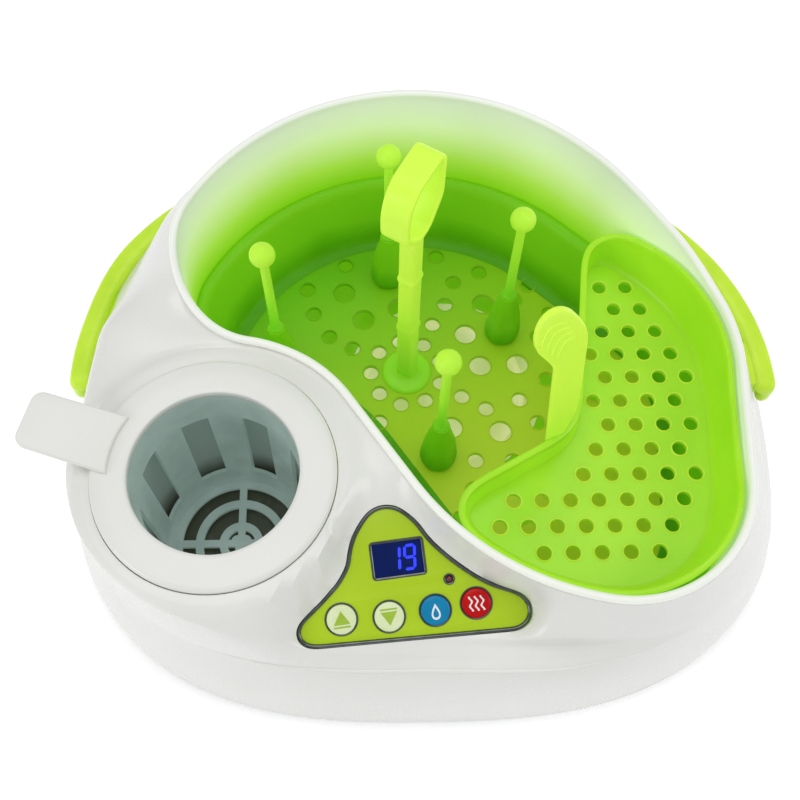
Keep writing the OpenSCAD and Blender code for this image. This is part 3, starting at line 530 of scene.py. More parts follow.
def prism(outline, low, high, place=None):
    """Closed prism over an outline; place moves its points."""
    n = len(outline)
    points = np.concatenate([raised(outline, low), raised(outline, high)])
    faces = [tuple(range(n))[::-1], tuple(range(n, 2 * n))] + [
        (i, (i + 1) % n, n + (i + 1) % n, n + i) for i in range(n)]
    return (place(points) if place else points), faces


# Openings for the warmer's collar, the panel and the cord bush at the back.
circle_96 = unit(np.arange(96) * 360 / 96)
collar_hole_r, panel_gap, bush_r, bush_z = 52.85, 3.15, 6.0, 22
cut_from(shell, [prism(warmer + collar_hole_r * circle_96, 60, 140),
                 prism(grown(panel_edge, panel_gap), -12, 20, on_panel),
                 prism(bush_r * circle_96[::3], -20, 30, lambda p: np.stack(
                     [p[:, 0], half_d + p[:, 2], bush_z - p[:, 1]], 1))], white_abs, 34)


# Chamber liner: a white polypropylene tub with a rolled lip that hooks over the edge of the shell.
# It is thin enough for the green rack to glow through; that green light is painted into its colour, which turns green
# towards the rack.
def plate(outlines, low, high, bevel=0.0, place=None):
    """Flat plate with holes and rounded edges, from closed outlines in mm."""
    curve = bpy.data.curves.new("plate", "CURVE")
    curve.dimensions, curve.fill_mode = "2D", "BOTH"
    curve.extrude, curve.bevel_depth = (high - low) / 2 - bevel, bevel
    curve.bevel_resolution, curve.offset = 2, -bevel
    for outline in outlines:
        run = curve.splines.new("POLY")
        run.points.add(len(outline) - 1)
        run.points.foreach_set("co", np.concatenate(
            [outline, np.zeros((len(outline), 1)), np.ones((len(outline), 1))], 1).ravel())
        run.use_cyclic_u = True
    holder = put("plate", curve)
    mesh = evaluated(holder)
    points = np.empty(len(mesh.vertices) * 3)
    mesh.vertices.foreach_get("co", points)
    points = points.reshape(-1, 3) + (0, 0, (low + high) / 2)
    faces = [tuple(f.vertices) for f in mesh.polygons]
    bpy.data.objects.remove(holder)
    bpy.data.curves.remove(curve)
    bpy.data.meshes.remove(mesh)
    return (place(points) if place else points), faces


def ring_of(outs_and_heights):
    """Skin round the chamber: each entry is a distance out and a height, or a height below the rim."""
    tops = rim_height(chamber(0.5))
    rings = [raised(chamber(out), tops + z if z <= 0.5 else z) for out, z in outs_and_heights]
    return skin(np.stack(rings, 1), True, True)


# Natural polypropylene, white at the rim, with painted light: green light from the rack is painted in lower down, and
# a painted glow grows with it.
# Clouds of about 45 mm drift through the tint, and the mould left a grain of 0.7 mm.
liner_pp, tree = new_material("milky_polypropylene_painted_light")
where = add(tree, "TexCoord").outputs["Object"]
apart = add(tree, "SeparateXYZ", {0: where})
tilted = add(tree, "Math",
             {0: apart.outputs["X"], 1: math.tan(rim_skew), 2: apart.outputs["Y"]}, operation="MULTIPLY_ADD")
rim = add(tree, "MapRange",
          {"Value": tilted.outputs[0], "From Min": 0.005, "From Max": 0.0765, "To Min": 0.1195, "To Max": 0.1450},
          interpolation_type="SMOOTHSTEP")
below = add(tree, "Math", {0: rim.outputs["Result"], 1: apart.outputs["Z"]}, operation="SUBTRACT")
cloud = add(tree, "TexNoise", {"Vector": where, "Scale": 22.0, "Detail": 2.0})
drift = add(tree, "Math", {0: cloud.outputs["Fac"], 1: 0.006, 2: below.outputs[0]}, operation="MULTIPLY_ADD")
share = add(tree, "MapRange", {"Value": drift.outputs[0], "From Min": 0.002, "From Max": 0.064})
tone = add(tree, "ValToRGB", {"Fac": share.outputs["Result"]})
stops = tone.color_ramp.elements
stops[0].position, stops[0].color = 0.0, linear("EDEEE8")
stops[1].position, stops[1].color = 1.0, linear("8CCE1C")
for spot, code in ((0.10, "F1F5E6"), (0.30, "E2EFC8"), (0.55, "CDE792"), (0.78, "AEDC4C")):
    stops.new(spot).color = linear(code)
grain = add(tree, "TexNoise", {"Vector": where, "Scale": 1400.0})
relief = add(tree, "Bump", {"Height": grain.outputs["Fac"], "Strength": 0.1, "Distance": 0.00002})
# Painted glow: emission in the painted tint, stronger where it is greener.
glow = add(tree, "MapRange", {"Value": share.outputs["Result"], "From Min": 0.04, "From Max": 0.36,
                                    "To Min": 0.12, "To Max": 0.31})
surface = add(tree, "BsdfPrincipled",
              {"Base Color": tone.outputs["Color"], "Roughness": 0.3, "Normal": relief.outputs["Normal"], "IOR": 1.49,
               "Emission Color": tone.outputs["Color"], "Emission Strength": glow.outputs["Result"]})
add(tree, "OutputMaterial", {"Surface": surface.outputs[0]})

bead = [(1.8 - 1.8 * math.cos(t), -1.8 + 1.8 * math.sin(t)) for t in np.linspace(0, math.pi, 13)]
heater, heater_r = np.array((10, 22.0)), 52
studs = heater + (heater_r - 3) * unit((45, 135, 225, 315))
piece("chamber_liner_wall", [ring_of(
    [(0, 22.2), (0, 75.2), (-3.4, 75.2), (-3.6, 75.5), (-3.6, 79.9), (-3.3, 80.2), (-0.3, 80.2), (0, 80.6)]
    + bead + [(3.6, -2.3), (3.3, -2.5), (2.2, -2.5), (2.0, -2.8), (2.0, 22.2)]),
    plate([chamber(1.9), heater + 46 * circle_96] + [p + 2.3 * circle_96[::4] for p in studs], 22, 24)],
    liner_pp, "base", ["chamber_liner"], 45)


# Base plate, feet and fixings: a white ABS floor screwed into the shell from below.
# Four soft rubber feet are pushed into it, and the screws are zinc plated.
def coat(material, *nodes):
    """Gives CAD nodes that keep their own shape a better finish."""
    for name in nodes:
        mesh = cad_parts[name].data
        mesh.materials.clear()
        mesh.materials.append(material)


def metal(name, shade, deep, gloss, line_mm, stretch):
    """Worked metal: fine streaks along one direction shift the colour and the gloss."""
    made, tree = new_material(name)
    where = add(tree, "TexCoord").outputs["Object"]
    flow = add(tree, "Mapping", {"Vector": where, "Scale": stretch})
    streak = add(tree, "TexNoise", {"Vector": flow.outputs[0], "Scale": 1000 / line_mm, "Detail": 4.0})
    tone = add(tree, "ValToRGB", {"Fac": streak.outputs["Fac"]})
    tone.color_ramp.elements[0].color, tone.color_ramp.elements[1].color = linear(deep), linear(shade)
    shine = add(tree, "MapRange",
                {"Value": streak.outputs["Fac"], "To Min": gloss * 0.8, "To Max": gloss * 1.2})
    surface = add(tree, "BsdfPrincipled",
                  {"Base Color": tone.outputs["Color"], "Roughness": shine.outputs["Result"], "Metallic": 1.0})
    add(tree, "OutputMaterial", {"Surface": surface.outputs[0]})
    return made


# Matt moulded ABS for the underside, soft black rubber, and bright zinc on the screws.
coat(moulded("white_abs_satin", "E2E1DC", "DAD9D3", 0.5, 25, 0.9, 0.04), "base_plate")
black_rubber = moulded("black_rubber", "2A2A2A", "1D1D1D", 0.75, 6, 0.5, 0.06)
coat(black_rubber, "rubber_feet")
zinc = metal("zinc_plated_steel", "C9CCCF", "9EA2A6", 0.3, 1.2, (1, 1, 0.3))
coat(zinc, "base_screws", "heater_nuts", "heater_clamp", "board_screws", "handle_screws")


# Heater under the chamber floor: a drawn stainless dish on a silicone seal.
# A sheathed element and a thermostat are clamped below it with a ring and four nuts.
def surface_of(made):
    return next(n for n in made.node_tree.nodes if n.type == "BSDF_PRINCIPLED")


def lit_up(made, code, strength):
    surface_of(made).inputs["Emission Color"].default_value = linear(code)
    surface_of(made).inputs["Emission Strength"].default_value = strength


# Brushed steel: pale, with a painted glow of warm cream that stands in for the light coming back through the rack.
steel = metal("drawn_stainless_steel_painted_light", "F2F1EA", "DAD9D0", 0.4, 0.8, (1, 0.12, 1))
surface_of(steel).inputs["Metallic"].default_value = 0.25
lit_up(steel, "F1ECB0", 0.3)
coat(steel, "heater_plate")
coat(moulded("white_silicone", "E8E8E3", "DCDCD6", 0.6, 8, 0.5, 0.03), "heater_seal")
coat(metal("oxidised_sheath", "7C7A77", "55534F", 0.5, 1.0, (1, 1, 1)), "heating_element")
black_abs = moulded("black_phenolic", "222222", "171717", 0.5, 6, 0.4, 0.03)
coat(black_abs, "chamber_thermostat", "warmer_sensor", "tact_switches", "display_module")

# Warmer pot: a deep drawn, anodised aluminium can that hangs in the shell, with a film heater round it.
# Dull grey metal: pale at the wall, with streaks of 6 mm, and painted shade that darkens it towards the floor of the
# can, with a faint painted glow of the same tint.
pot_metal, tree = new_material("anodised_aluminium_can_painted_shade")
where = add(tree, "TexCoord").outputs["Object"]
height = add(tree, "SeparateXYZ", {0: where}).outputs["Z"]
streak = add(tree, "TexNoise", {"Vector": where, "Scale": 160.0, "Detail": 3.0})
drift = add(tree, "Math", {0: streak.outputs["Fac"], 1: 0.006, 2: height}, operation="MULTIPLY_ADD")
share = add(tree, "MapRange", {"Value": drift.outputs[0], "From Min": 0.018, "From Max": 0.040})
tone = add(tree, "ValToRGB", {"Fac": share.outputs["Result"]})
tone.color_ramp.elements[0].color, tone.color_ramp.elements[1].color = linear("3A402E"), linear("A9B8B2")
surface = add(tree, "BsdfPrincipled",
              {"Base Color": tone.outputs["Color"], "Roughness": 0.4, "Metallic": 0.1,
               "Emission Color": tone.outputs["Color"], "Emission Strength": 0.12})
add(tree, "OutputMaterial", {"Surface": surface.outputs[0]})
coat(pot_metal, "warmer_pot")
coat(moulded("polyimide_heater_film", "C9892A", "B97A20", 0.35, 5, 0.4, 0.02), "warmer_heater")

# Electronics: printed boards screwed behind the panel and on the base plate, with their relay,
# transformer and terminals. All are hidden, in the usual glossy lacquer, nylon and tape colours.
coat(moulded("solder_mask_green", "1E5A34", "17492A", 0.4, 4, 0.3, 0.02), "control_board", "power_board")
coat(moulded("relay_case_blue", "2A4FA8", "233F8C", 0.4, 5, 0.4, 0.02), "power_relay")
coat(moulded("tape_wound_core", "D9B234", "C49E28", 0.5, 3, 0.4, 0.03), "power_transformer")
coat(moulded("terminal_green", "2C7A48", "23663B", 0.45, 4, 0.4, 0.02), "terminal_block")
coat(black_rubber, "cord_gland")


# Side handles: translucent lime mouldings screwed to the flanks from inside. A thick rounded outer bar
# leaves the flank at the back and ends in a rounded block at the front, with a thin web behind it.
def clear_plastic(name, shade, deep, gloss, glow, through, patch_mm=18.0):
    """Tinted translucent plastic: light soaks in and comes out again, and a painted glow of its own colour makes it
    look lit.
    """
    made = moulded(name, shade, deep, gloss, patch_mm, 0.8, 0.012, Subsurface_Weight=through,
                   Subsurface_Scale=0.006, Subsurface_Radius=(0.6, 1.0, 0.2), Specular_IOR_Level=0.3)
    surface = surface_of(made)
    tone = surface.inputs["Base Color"].links[0].from_socket
    made.node_tree.links.new(tone, surface.inputs["Emission Color"])
    surface.inputs["Emission Strength"].default_value = glow
    return made


# Lime polycarbonate: clear yellow green with a wet gloss and a painted glow.
lime_clear = clear_plastic("lime_polycarbonate", "C4E640", "B6DC32", 0.2, 0.18, 0.3)


def capped(rings):
    """Skin over closed rings, with a face on the first and on the last."""
    points, faces = skin(rings, False, True)
    n = len(rings[0])
    return points, faces + [tuple(range(n)), tuple(range(len(points) - n, len(points)))]


def handle_parts(side, centre):
    """Bar, web and end block of one handle; angles run round its centre from the front end."""
    section = np.array(((125, 62.5), (125, 72.5), (124.7, 74.6), (123.8, 76.2), (122.2, 77), (117.2, 77),
                        (115.2, 76.4), (114.2, 75.2), (114, 73.6), (114, 71), (118, 71), (118, 61),
                        (119.2, 59.4), (121.5, 59), (123.8, 59.6)))
    section = rounded(spaced(section, 0.7), 1.2)
    middle = np.array((120.2, 69))
    rings = []

    def swell(e):
        return 3 * ease((e - 12) / 24) if side < 0 else 0

    def way(e):
        return np.array((side * math.cos(math.radians(e)), math.sin(math.radians(e))))

    for e in np.concatenate([np.linspace(-3.0, -0.4, 14), np.linspace(0.2, 57, 68)]):
        tip = (1 - min(0.999, (-0.4 - e) / 2.62) ** 2.6) ** (1 / 2.6) if e < -0.4 else 1
        here = middle + (section - middle) * (tip, 0.35 + 0.65 * tip) + (swell(e), 0)
        rings.append(raised(centre + way(e) * here[:, :1], here[:, 1]))

    def band(start, end, low, high, reach):
        rows = []
        for e in np.linspace(start, end, 50):
            rim = 116 + swell(e)
            spots = [(rim, low), (rim, high), (reach + 1.2, high), (reach, high - 0.5), (reach, low)]
            rows.append([np.append(centre + way(e) * r, z) for r, z in spots])
        return capped(rows)

    return [capped(rings), band(0.4, 55, 71, 73.6, 103), band(-1.4, 10, 61, 75.6, 103)]


for name, side, centre in (("handle_left", -1, np.array((-50, 8.0))), ("handle_right", 1, np.array((45, 1.5)))):
    piece(name + "_moulding", handle_parts(side, centre), lime_clear, "base", [name], 40)


# Panel bezel: a dark chromed ABS frame with a rounded top, pressed into the deck round the printed face.
# Dark chrome: nearly black, with sharp pale reflections on its rounded edge.
def along_edge(outline, section, place=lambda q: q):
    """Sweeps a closed section, given as (out, up), along a closed outline."""
    return skin(np.stack([place(raised(grown(outline, out), up)) for out, up in section], 1), True, True)


bezel_chrome = metal("dark_chrome_plate", "7E8382", "434746", 0.14, 6, (1, 1, 1))
bezel_section = [(1.3, -1.9), (1.3, 0.35), (1.5, 0.7), (2.0, 0.9), (2.5, 0.85), (2.85, 0.55), (3.0, 0.1), (3.0, -1.9)]
piece("panel_bezel_frame", [along_edge(panel_edge, bezel_section, on_panel)], bezel_chrome, "base",
      ["panel_bezel"], 50)

# Panel face: a lime printed film on a moulded plate, with round key holes, a display and a lamp.
# Glossy film: printed from behind, so the colour is even and the surface is a clear sheet.
lime_film = moulded("lime_printed_film", "B9D928", "AECF20", 0.22, 40, 0.6, 0.006, Specular_IOR_Level=0.25)
key_spots = np.array(((-31, 12.6), (-10.6, 11), (9.4, 11), (27.3, 11.7)))
display_at, display_half, lamp_at = np.array((-3.8, 35)), np.array((11, 7.5)), np.array((17, 23.4))


def box_outline(centre, half, radius=0.6):
    corners = []
    for sx, sy, start in ((1, 1, 0), (-1, 1, 90), (-1, -1, 180), (1, -1, 270)):
        corners.append(centre + (half - radius) * (sx, sy) + radius * unit(start + np.linspace(0, 90, 6)))
    return np.concatenate(corners)


posts = [plate([np.array(p) + 2.6 * circle_96[::4], np.array(p) + 1.15 * circle_96[::6]], -10, -2, 0, on_panel)
         for p in ((-41, 6.5), (38, 5.5))]
piece("panel_face_film", [plate([grown(panel_edge, 1.25)] + [p + 6.6 * circle_96 for p in key_spots]
                                + [box_outline(display_at, display_half), lamp_at + 1.9 * circle_96[::3]],
                                -2, 0, 0.15, on_panel)] + posts, lime_film, "base", ["panel_face"], 40)

# Thin plated rings frame the four keys and the lamp, and a grey frame holds the display.
rings = []
for spot, radius in [(p, 6.7) for p in key_spots] + [(lamp_at, 2.0)]:
    ring_path = spot + radius * circle_96
    rings.append(along_edge(ring_path, [(-0.28, -0.4), (-0.28, 0.2), (0, 0.38), (0.4, 0.3), (0.55, -0.05)], on_panel))
rings.append(along_edge(box_outline(display_at, display_half, 0.9),
                        [(-0.25, -0.5), (-0.25, 0.1), (0.1, 0.3), (0.7, 0.25), (0.9, -0.05)], on_panel))
piece("panel_trim_rings", rings, bezel_chrome, "base", crisp=50)

# Display: a navy tinted window let into the film, over a module with two digits of seven bars.
# The window is a deep even blue with little glare, and the bars are a bright blue of their own light.
ink = moulded("navy_display_window", "0B2166", "081A52", 0.12, 14, 0.5, 0.004, Specular_IOR_Level=0.12)
piece("display_glass", [plate([box_outline(display_at, display_half - 0.2)], -2, -0.35, 0.1, on_panel)],
      ink, "base", ["display_window"], 40)
lit = moulded("blue_lit_segment", "2A3CFF", "1E2EF0", 0.3, 3, 0.4, 0.002)
lit_up(lit, "2233FF", 0.9)
bars = []


def digit(at, segments):
    """A slanted digit of six sided bars, a little shorter than the space between their corners."""
    slant, high, wide, half, short = 0.09, 5.0, 4.3, 0.62, 0.18
    spots = {"a": ((0, high), (wide, high)), "b": ((wide, high), (wide, 0)), "c": ((wide, 0), (wide, -high)),
             "d": ((0, -high), (wide, -high)), "f": ((0, high), (0, 0)), "g": ((0, 0), (wide, 0))}
    for s in segments:
        start, end = np.array(spots[s], float)
        way = (end - start) / np.linalg.norm(end - start)
        side = np.array((-way[1], way[0])) * half
        start, end = start + short * way, end - short * way
        shape = np.array([start, start + way * half - side, end - way * half - side, end,
                          end - way * half + side, start + way * half + side])
        shape[:, 0] += slant * shape[:, 1]
        bars.append(prism(display_at + at + shape, -0.36, -0.3, on_panel))


digit(np.array((-3.6, 0)), "bc")
digit(np.array((3.0, 0)), "abcdfg")
piece("display_digits", bars, lit, "base", crisp=30)

# Indicator lamp: a dark red moulded lens with a domed tip, held in the film by its ring.
# Unlit lens: almost black red with a clear coat.
lens = moulded("red_lamp_lens", "6A1F1C", "4E1512", 0.12, 2, 0.3, 0.004, Coat_Weight=0.5)
coat(lens, "indicator_led")


# Push keys: domed caps on springy stems, two pale ones with triangles and two coloured ones.
# The symbols are pad printed: up, down, a drop for warming and rising waves for vapour.
def turned(profile, place, count=96, hollow=False):
    """Turned piece from (radius, height) pairs, closed at the axis or, if hollow, in itself."""
    ways = unit(np.arange(count) * 360 / count)
    rings = [np.stack([np.append(w * r, z) for r, z in profile]) for w in ways]
    points, faces = skin(rings, True, hollow)
    return place(points), faces


key_profile = [(0.001, -4.4), (1.9, -4.4), (1.9, -3.4), (7.6, -3.4), (7.6, -2.3), (6.35, -2.3), (6.35, 0.5),
               (6.2, 0.95), (5.7, 1.22), (4.9, 1.34), (2.8, 1.39), (0.001, 1.4)]

# Glossy ABS caps in even colours, with a duller ink on top of them.
pale_cap, blue_cap, red_cap = (
    moulded(name, shade, deep, gloss, 8, 0.5, 0.01, Specular_IOR_Level=0.2) for name, shade, deep, gloss in (
        ("pale_key_cap", "E6F0C4", "DDE9B4", 0.22), ("blue_key_cap", "1488B8", "0F7BAA", 0.2),
        ("red_key_cap", "C80A0C", "B30608", 0.2)))
green_print = moulded("green_pad_print", "A6C83A", "9BBD30", 0.35, 5, 0.4, 0.004)
white_print = moulded("white_pad_print", "EEF4F4", "E4ECEC", 0.35, 5, 0.4, 0.004)
up_mark = [[(-3.6, -2.2), (3.6, -2.2), (0, 3.6)], [(-3.6, -3.6), (3.6, -3.6), (3.6, -2.9), (-3.6, -2.9)]]
down_mark = [[(x, -y) for x, y in o][::-1] for o in up_mark]
drop_t = np.linspace(0, 2 * math.pi, 40, endpoint=False)
drop = np.stack([2.7 * np.sin(drop_t) * np.sin(drop_t / 2) ** 1.3, -0.4 + 3.5 * np.cos(drop_t)], 1)
inner_drop = drop * 0.62 + (0, -0.55)


def wave(x):
    t = np.linspace(-3.2, 3.2, 24)
    mid = np.stack([x + 0.55 * np.sin(t * 1.6), t], 1)
    return np.concatenate([mid + (0.42, 0), mid[::-1] - (0.42, 0)])


for at, (name, cap, slot, print_ink, marks) in zip(key_spots, (
        ("button_up", pale_cap, "key_pale", green_print, up_mark),
        ("button_down", pale_cap, "key_pale", green_print, down_mark),
        ("button_warm", blue_cap, "key_blue", white_print, [drop, inner_drop]),
        ("button_steam", red_cap, "key_red", white_print, [wave(-2.5), wave(0.0), wave(2.5)]))):
    cap_shape = turned(key_profile, lambda p: on_panel(p + np.append(at, 0)))
    print_shape = plate([at + np.array(o) for o in marks], 1.36, 1.46, 0, on_panel)
    piece(name + "_cap", [cap_shape], cap, name, [name], 35)
    piece(name + "_symbol", [print_shape], print_ink, name, crisp=30)


# Warmer collar: a flat white ring that drops into the deck, with a rising tab to lift it by.
# The cup hangs from it and comes out with it.
collar_profile = [(36.5, 118.0), (36.5, 120.7), (36.8, 121.5), (37.5, 121.95), (38.6, 122.0), (44, 122.0),
                  (50.4, 121.95), (51.5, 121.6), (52.2, 120.9), (52.5, 119.8), (52.5, 118.4), (52.1, 117.7),
                  (51.2, 117.6), (37.2, 117.6), (36.7, 117.7)]


def at_warmer(p):
    return p + np.append(warmer, 0)


tab_turn = np.array(Matrix.Rotation(math.radians(164), 3, "Z") @ Matrix.Rotation(math.radians(-9), 3, "Y"))
root = 44.6 * unit(np.linspace(17.6, -17.6, 19))
tip_corners = [(78.5, y) + 5.2 * unit(np.linspace(start, start + 90, 8)) for y, start in ((-7.9, -90), (7.9, 0))]
tab = plate([np.concatenate([root] + tip_corners)], -7, -3.8, 0.9,
            lambda p: at_warmer(p @ tab_turn.T + (0, 0, 121)))
piece("warmer_collar_ring", [turned(collar_profile, at_warmer, 160, True), tab],
      white_abs, "warmer_basket", ["warmer_collar"], 35)

# Warmer cup: a moulded cup with tall windows and a round grille for a floor, clipped under the collar.
# Smoky polycarbonate: grey green and translucent, with a painted glow so that it looks lit from within.
coat(clear_plastic("smoky_polycarbonate", "A4B6B0", "98AAA4", 0.22, 0.24, 0.2, 12), "warmer_cup")


# Bottle rack: a deep drafted basket of translucent green polypropylene that hangs on the liner's ledge.
# Its floor is drilled all over for the vapour, and four fluted sockets hold the pegs.
def shaded(made, way, start, end, codes):
    """Paints light and shade onto a plastic as a tint along a direction, in mm, with drifts of about 33 mm; the tint
    also colours its painted glow.
    """
    tree, surface = made.node_tree, surface_of(made)
    surface.inputs["Specular IOR Level"].default_value = 0.2
    where = add(tree, "TexCoord").outputs["Object"]
    along = add(tree, "VectorMath", {0: where, 1: way}, operation="DOT_PRODUCT")
    cloud = add(tree, "TexNoise", {"Vector": where, "Scale": 30.0})
    drift = add(tree, "Math",
                {0: cloud.outputs["Fac"], 1: 0.01, 2: along.outputs["Value"]}, operation="MULTIPLY_ADD")
    share = add(tree, "MapRange",
                {"Value": drift.outputs[0], "From Min": start * 0.001 + 0.005, "From Max": end * 0.001 + 0.005})
    tone = add(tree, "ValToRGB", {"Fac": share.outputs["Result"]})
    stops = tone.color_ramp.elements
    stops[0].color, stops[1].color = linear(codes[0]), linear(codes[-1])
    for n, code in enumerate(codes[1:-1], 1):
        stops.new(n / (len(codes) - 1)).color = linear(code)
    for name in ("Base Color", "Emission Color"):
        tree.links.new(tone.outputs["Color"], surface.inputs[name])
    return made


# Green polypropylene: a deep clear green at the wall, darker at its foot by painted shade; the floor has painted
# shade at the back left and painted light from the steel, yellow on the right.
deep_clear = shaded(clear_plastic("green_polypropylene", "80C61A", "72BA10", 0.42, 0.13, 0.35, 40),
                    (0, 0, 1), 44, 62, ("55A008", "6AB610", "80C61A"))
floor_clear = shaded(clear_plastic("green_polypropylene_floor", "AED022", "9DC618", 0.42, 0.1, 0.35, 40),
                     (0.5, -0.87, 0), -95, 60, ("6EB810", "8EC216", "B0CE20", "C9D62E"))


def round_holes(node, level, smallest):
    """Centre and radius of every round hole in a CAD node's flat face."""
    holes = []
    for loop in node_loops(node, lambda p: p, level)[1:]:
        middle = (loop.max(0) + loop.min(0)) / 2
        radius = float(np.mean(np.hypot(*(loop - middle).T)))
        if smallest < radius < 12:
            holes.append((middle, radius))
    return holes


def hole_rims(holes, section):
    return [along_edge(p + r * circle_96[::2], section) for p, r in holes]


rack_low, rack_z = 42.5, 45
rack_section = [(-0.5, 81.0), (-0.5, 82.2), (-0.9, 82.8), (-1.8, 82.95), (-3.2, 82.6), (-4.6, 81.7), (-5.7, 80.2),
                (-6.6, 77.6), (-13.9, 51.0), (-14.6, 48.4), (-16.0, 46.3), (-18.2, 45.2), (-21.0, rack_z),
                (-21.0, rack_low), (-16.2, rack_low), (-14.2, 43.0), (-13.1, 44.6), (-12.2, 47.5), (-5.6, 78.5),
                (-5.2, 80.2), (-4.9, 80.5), (-1.0, 80.5)]
stem = np.array((-10, 22.5))
rack_holes = [(p, r) for p, r in round_holes("bottle_rack", rack_low, 3.0) if not np.allclose(p, stem, atol=0.5)]
pegs = {"peg_right": stem + (50.5, 23), "peg_back": stem + (-8.6, 58),
        "peg_left": stem + (-64.5, 6), "peg_front": stem + (14.6, -47.5)}


def socket(at):
    """A fluted bulb that stands on the floor, with a bore for the peg; sizes are (share of height, radius)."""
    count, height, bore_r, bore_z = 120, 39, 2.3, 64.0
    t = np.radians(np.arange(count) * 360 / count)
    shape = ((0, 7.6), (0.03, 8.5), (0.08, 8.9), (0.16, 8.8), (0.34, 8.2), (0.55, 7.4), (0.7, 6.3), (0.82, 5.1),
             (0.92, 4.45), (0.985, 4.2), (1.0, 3.9))
    rows = []
    for share, radius in shape:
        flute = 0.4 * ease((0.8 - share) / 0.4) * ease(share / 0.2)
        flute = flute * np.sign(np.cos(6 * t)) * np.abs(np.cos(6 * t)) ** 0.8
        rows.append((radius + flute, rack_z + height * share))
    rows += [(bore_r, rack_z + height), (bore_r, bore_z)]
    rings = [np.stack([at[0] + r * np.cos(t), at[1] + r * np.sin(t), np.full(count, float(z))], 1) for r, z in rows]
    points, faces = skin(np.stack(rings, 1), True, False)
    m = len(rows)
    return points, faces + [tuple(i * m + m - 1 for i in range(count))]


piece("bottle_rack_wall", [ring_of(rack_section)] + [socket(p) for p in pegs.values()], deep_clear, "steam_basket",
      ["bottle_rack"], 50)
piece("bottle_rack_floor", [plate([chamber(-20.5), stem + 4.2 * circle_96[::3]]
                                  + [p + r * circle_96[::2] for p, r in rack_holes if r < 8],
                                  rack_low, rack_z, 0.35)],
      floor_clear, "steam_basket", crisp=12)
piece("bottle_rack_hole_rims", hole_rims(rack_holes, [(0.05, 44.9), (0.15, 45.3), (0.45, 45.35), (0.7, 44.9)]),
      floor_clear, "steam_basket", crisp=60)

# Lifting stem: a square shaft on a round foot in the rack's floor, with a strap loop to lift the rack by.
# Lime polypropylene: pale at the loop by painted light, greener towards the rack by painted shade, with a painted
# glow.
stem_clear = shaded(clear_plastic("lime_polypropylene", "C8F048", "BCE83A", 0.3, 0.26, 0.4),
                    (0, 0, 1), 48, 170, ("8CCE28", "B2E23C", "C4EA48", "C8EC4C"))
stem_axes = np.array(Matrix.Rotation(math.radians(59), 3, "Z"))


def on_stem(p):
    return np.asarray(p, float) @ stem_axes.T + (stem[0], stem[1], rack_z)


def soft_square(half_x, half_y, count=40, power=0.4):
    t = np.arange(count) * 2 * math.pi / count
    c, s = np.cos(t), np.sin(t)
    return np.stack([half_x * np.sign(c) * np.abs(c) ** power, half_y * np.sign(s) * np.abs(s) ** power], 1)


shaft_rows, shaft_h = [], 134
for z in np.linspace(2.0, shaft_h, 100):
    lug = 0.6 * math.exp(-((z - 95) / 1.8) ** 2) + 0.6 * math.exp(-((z - 51) / 1.8) ** 2)
    half = 4.4 - 0.2 * z / shaft_h + lug
    shaft_rows.append(raised(soft_square(half, half), z))
shaft = skin(shaft_rows, False, True)
loop_half_w, loop_h, loop_z = 14.0, 37.2, 132.6
knots = np.array(((0.3, 0), (1, 0.3), (1.03, 0.9), (0.88, 1), (-0.4, 0.98), (-0.82, 0.84), (-1, 0.62), (-1, 0.3),
                  (-0.3, 0))) * (loop_half_w, loop_h)
loop_path = rounded(spaced(knots, 0.8), 2.6)
strap = soft_square(1.6, 6.2, 32, 0.3)
loop = skin([np.stack([np.array((p[0] + s[0] * u, v, p[1] + s[1] * u + loop_z)) for u, v in strap])
             for p, s in zip(loop_path, outward(loop_path))], True, True)
foot_profile = [(4.0, -2.5), (4.0, 0), (12.2, 0), (12.6, 0.4), (12.4, 1.2), (11.4, 1.9), (9.6, 2.2), (5.8, 2.5),
                (4.8, 3.6), (0.001, 3.6)]
piece("lift_stem_loop", [(on_stem(shaft[0]), shaft[1]), (on_stem(loop[0]), loop[1]), turned(foot_profile, on_stem)],
      stem_clear, "steam_basket", ["lift_stem"], 45)

# Bottle pegs: thin moulded rods pushed into the sockets, each with a ball for the bottle to rest on.
# The same lime plastic as the stem, a little greener because the pegs are thin, darker lower down by painted shade,
# and with a painted glow.
peg_clear = shaded(clear_plastic("lime_peg_plastic", "BCEA40", "AEE032", 0.3, 0.2, 0.4),
                   (0, 0, 1), 84, 150, ("7CCB28", "A4DE38", "B8EA42"))
ball_r, ball_z = 5.8, 104
ball = [(ball_r * math.sin(t), ball_z - ball_r * math.cos(t)) for t in np.linspace(0.36, math.pi - 0.0002, 26)]
peg_profile = [(0.001, 19.2), (2.2, 19.2), (2.2, 39.0), (3.3, 39.05), (3.5, 39.5), (3.3, 40.1), (2.7, 40.6),
               (2.35, 42), (2.1, 97.5)] + ball
for name, spot in pegs.items():
    piece(name + "_rod", [turned(peg_profile, lambda p: p + np.append(spot, rack_z), 64)], peg_clear, "steam_basket",
          [name], 50)


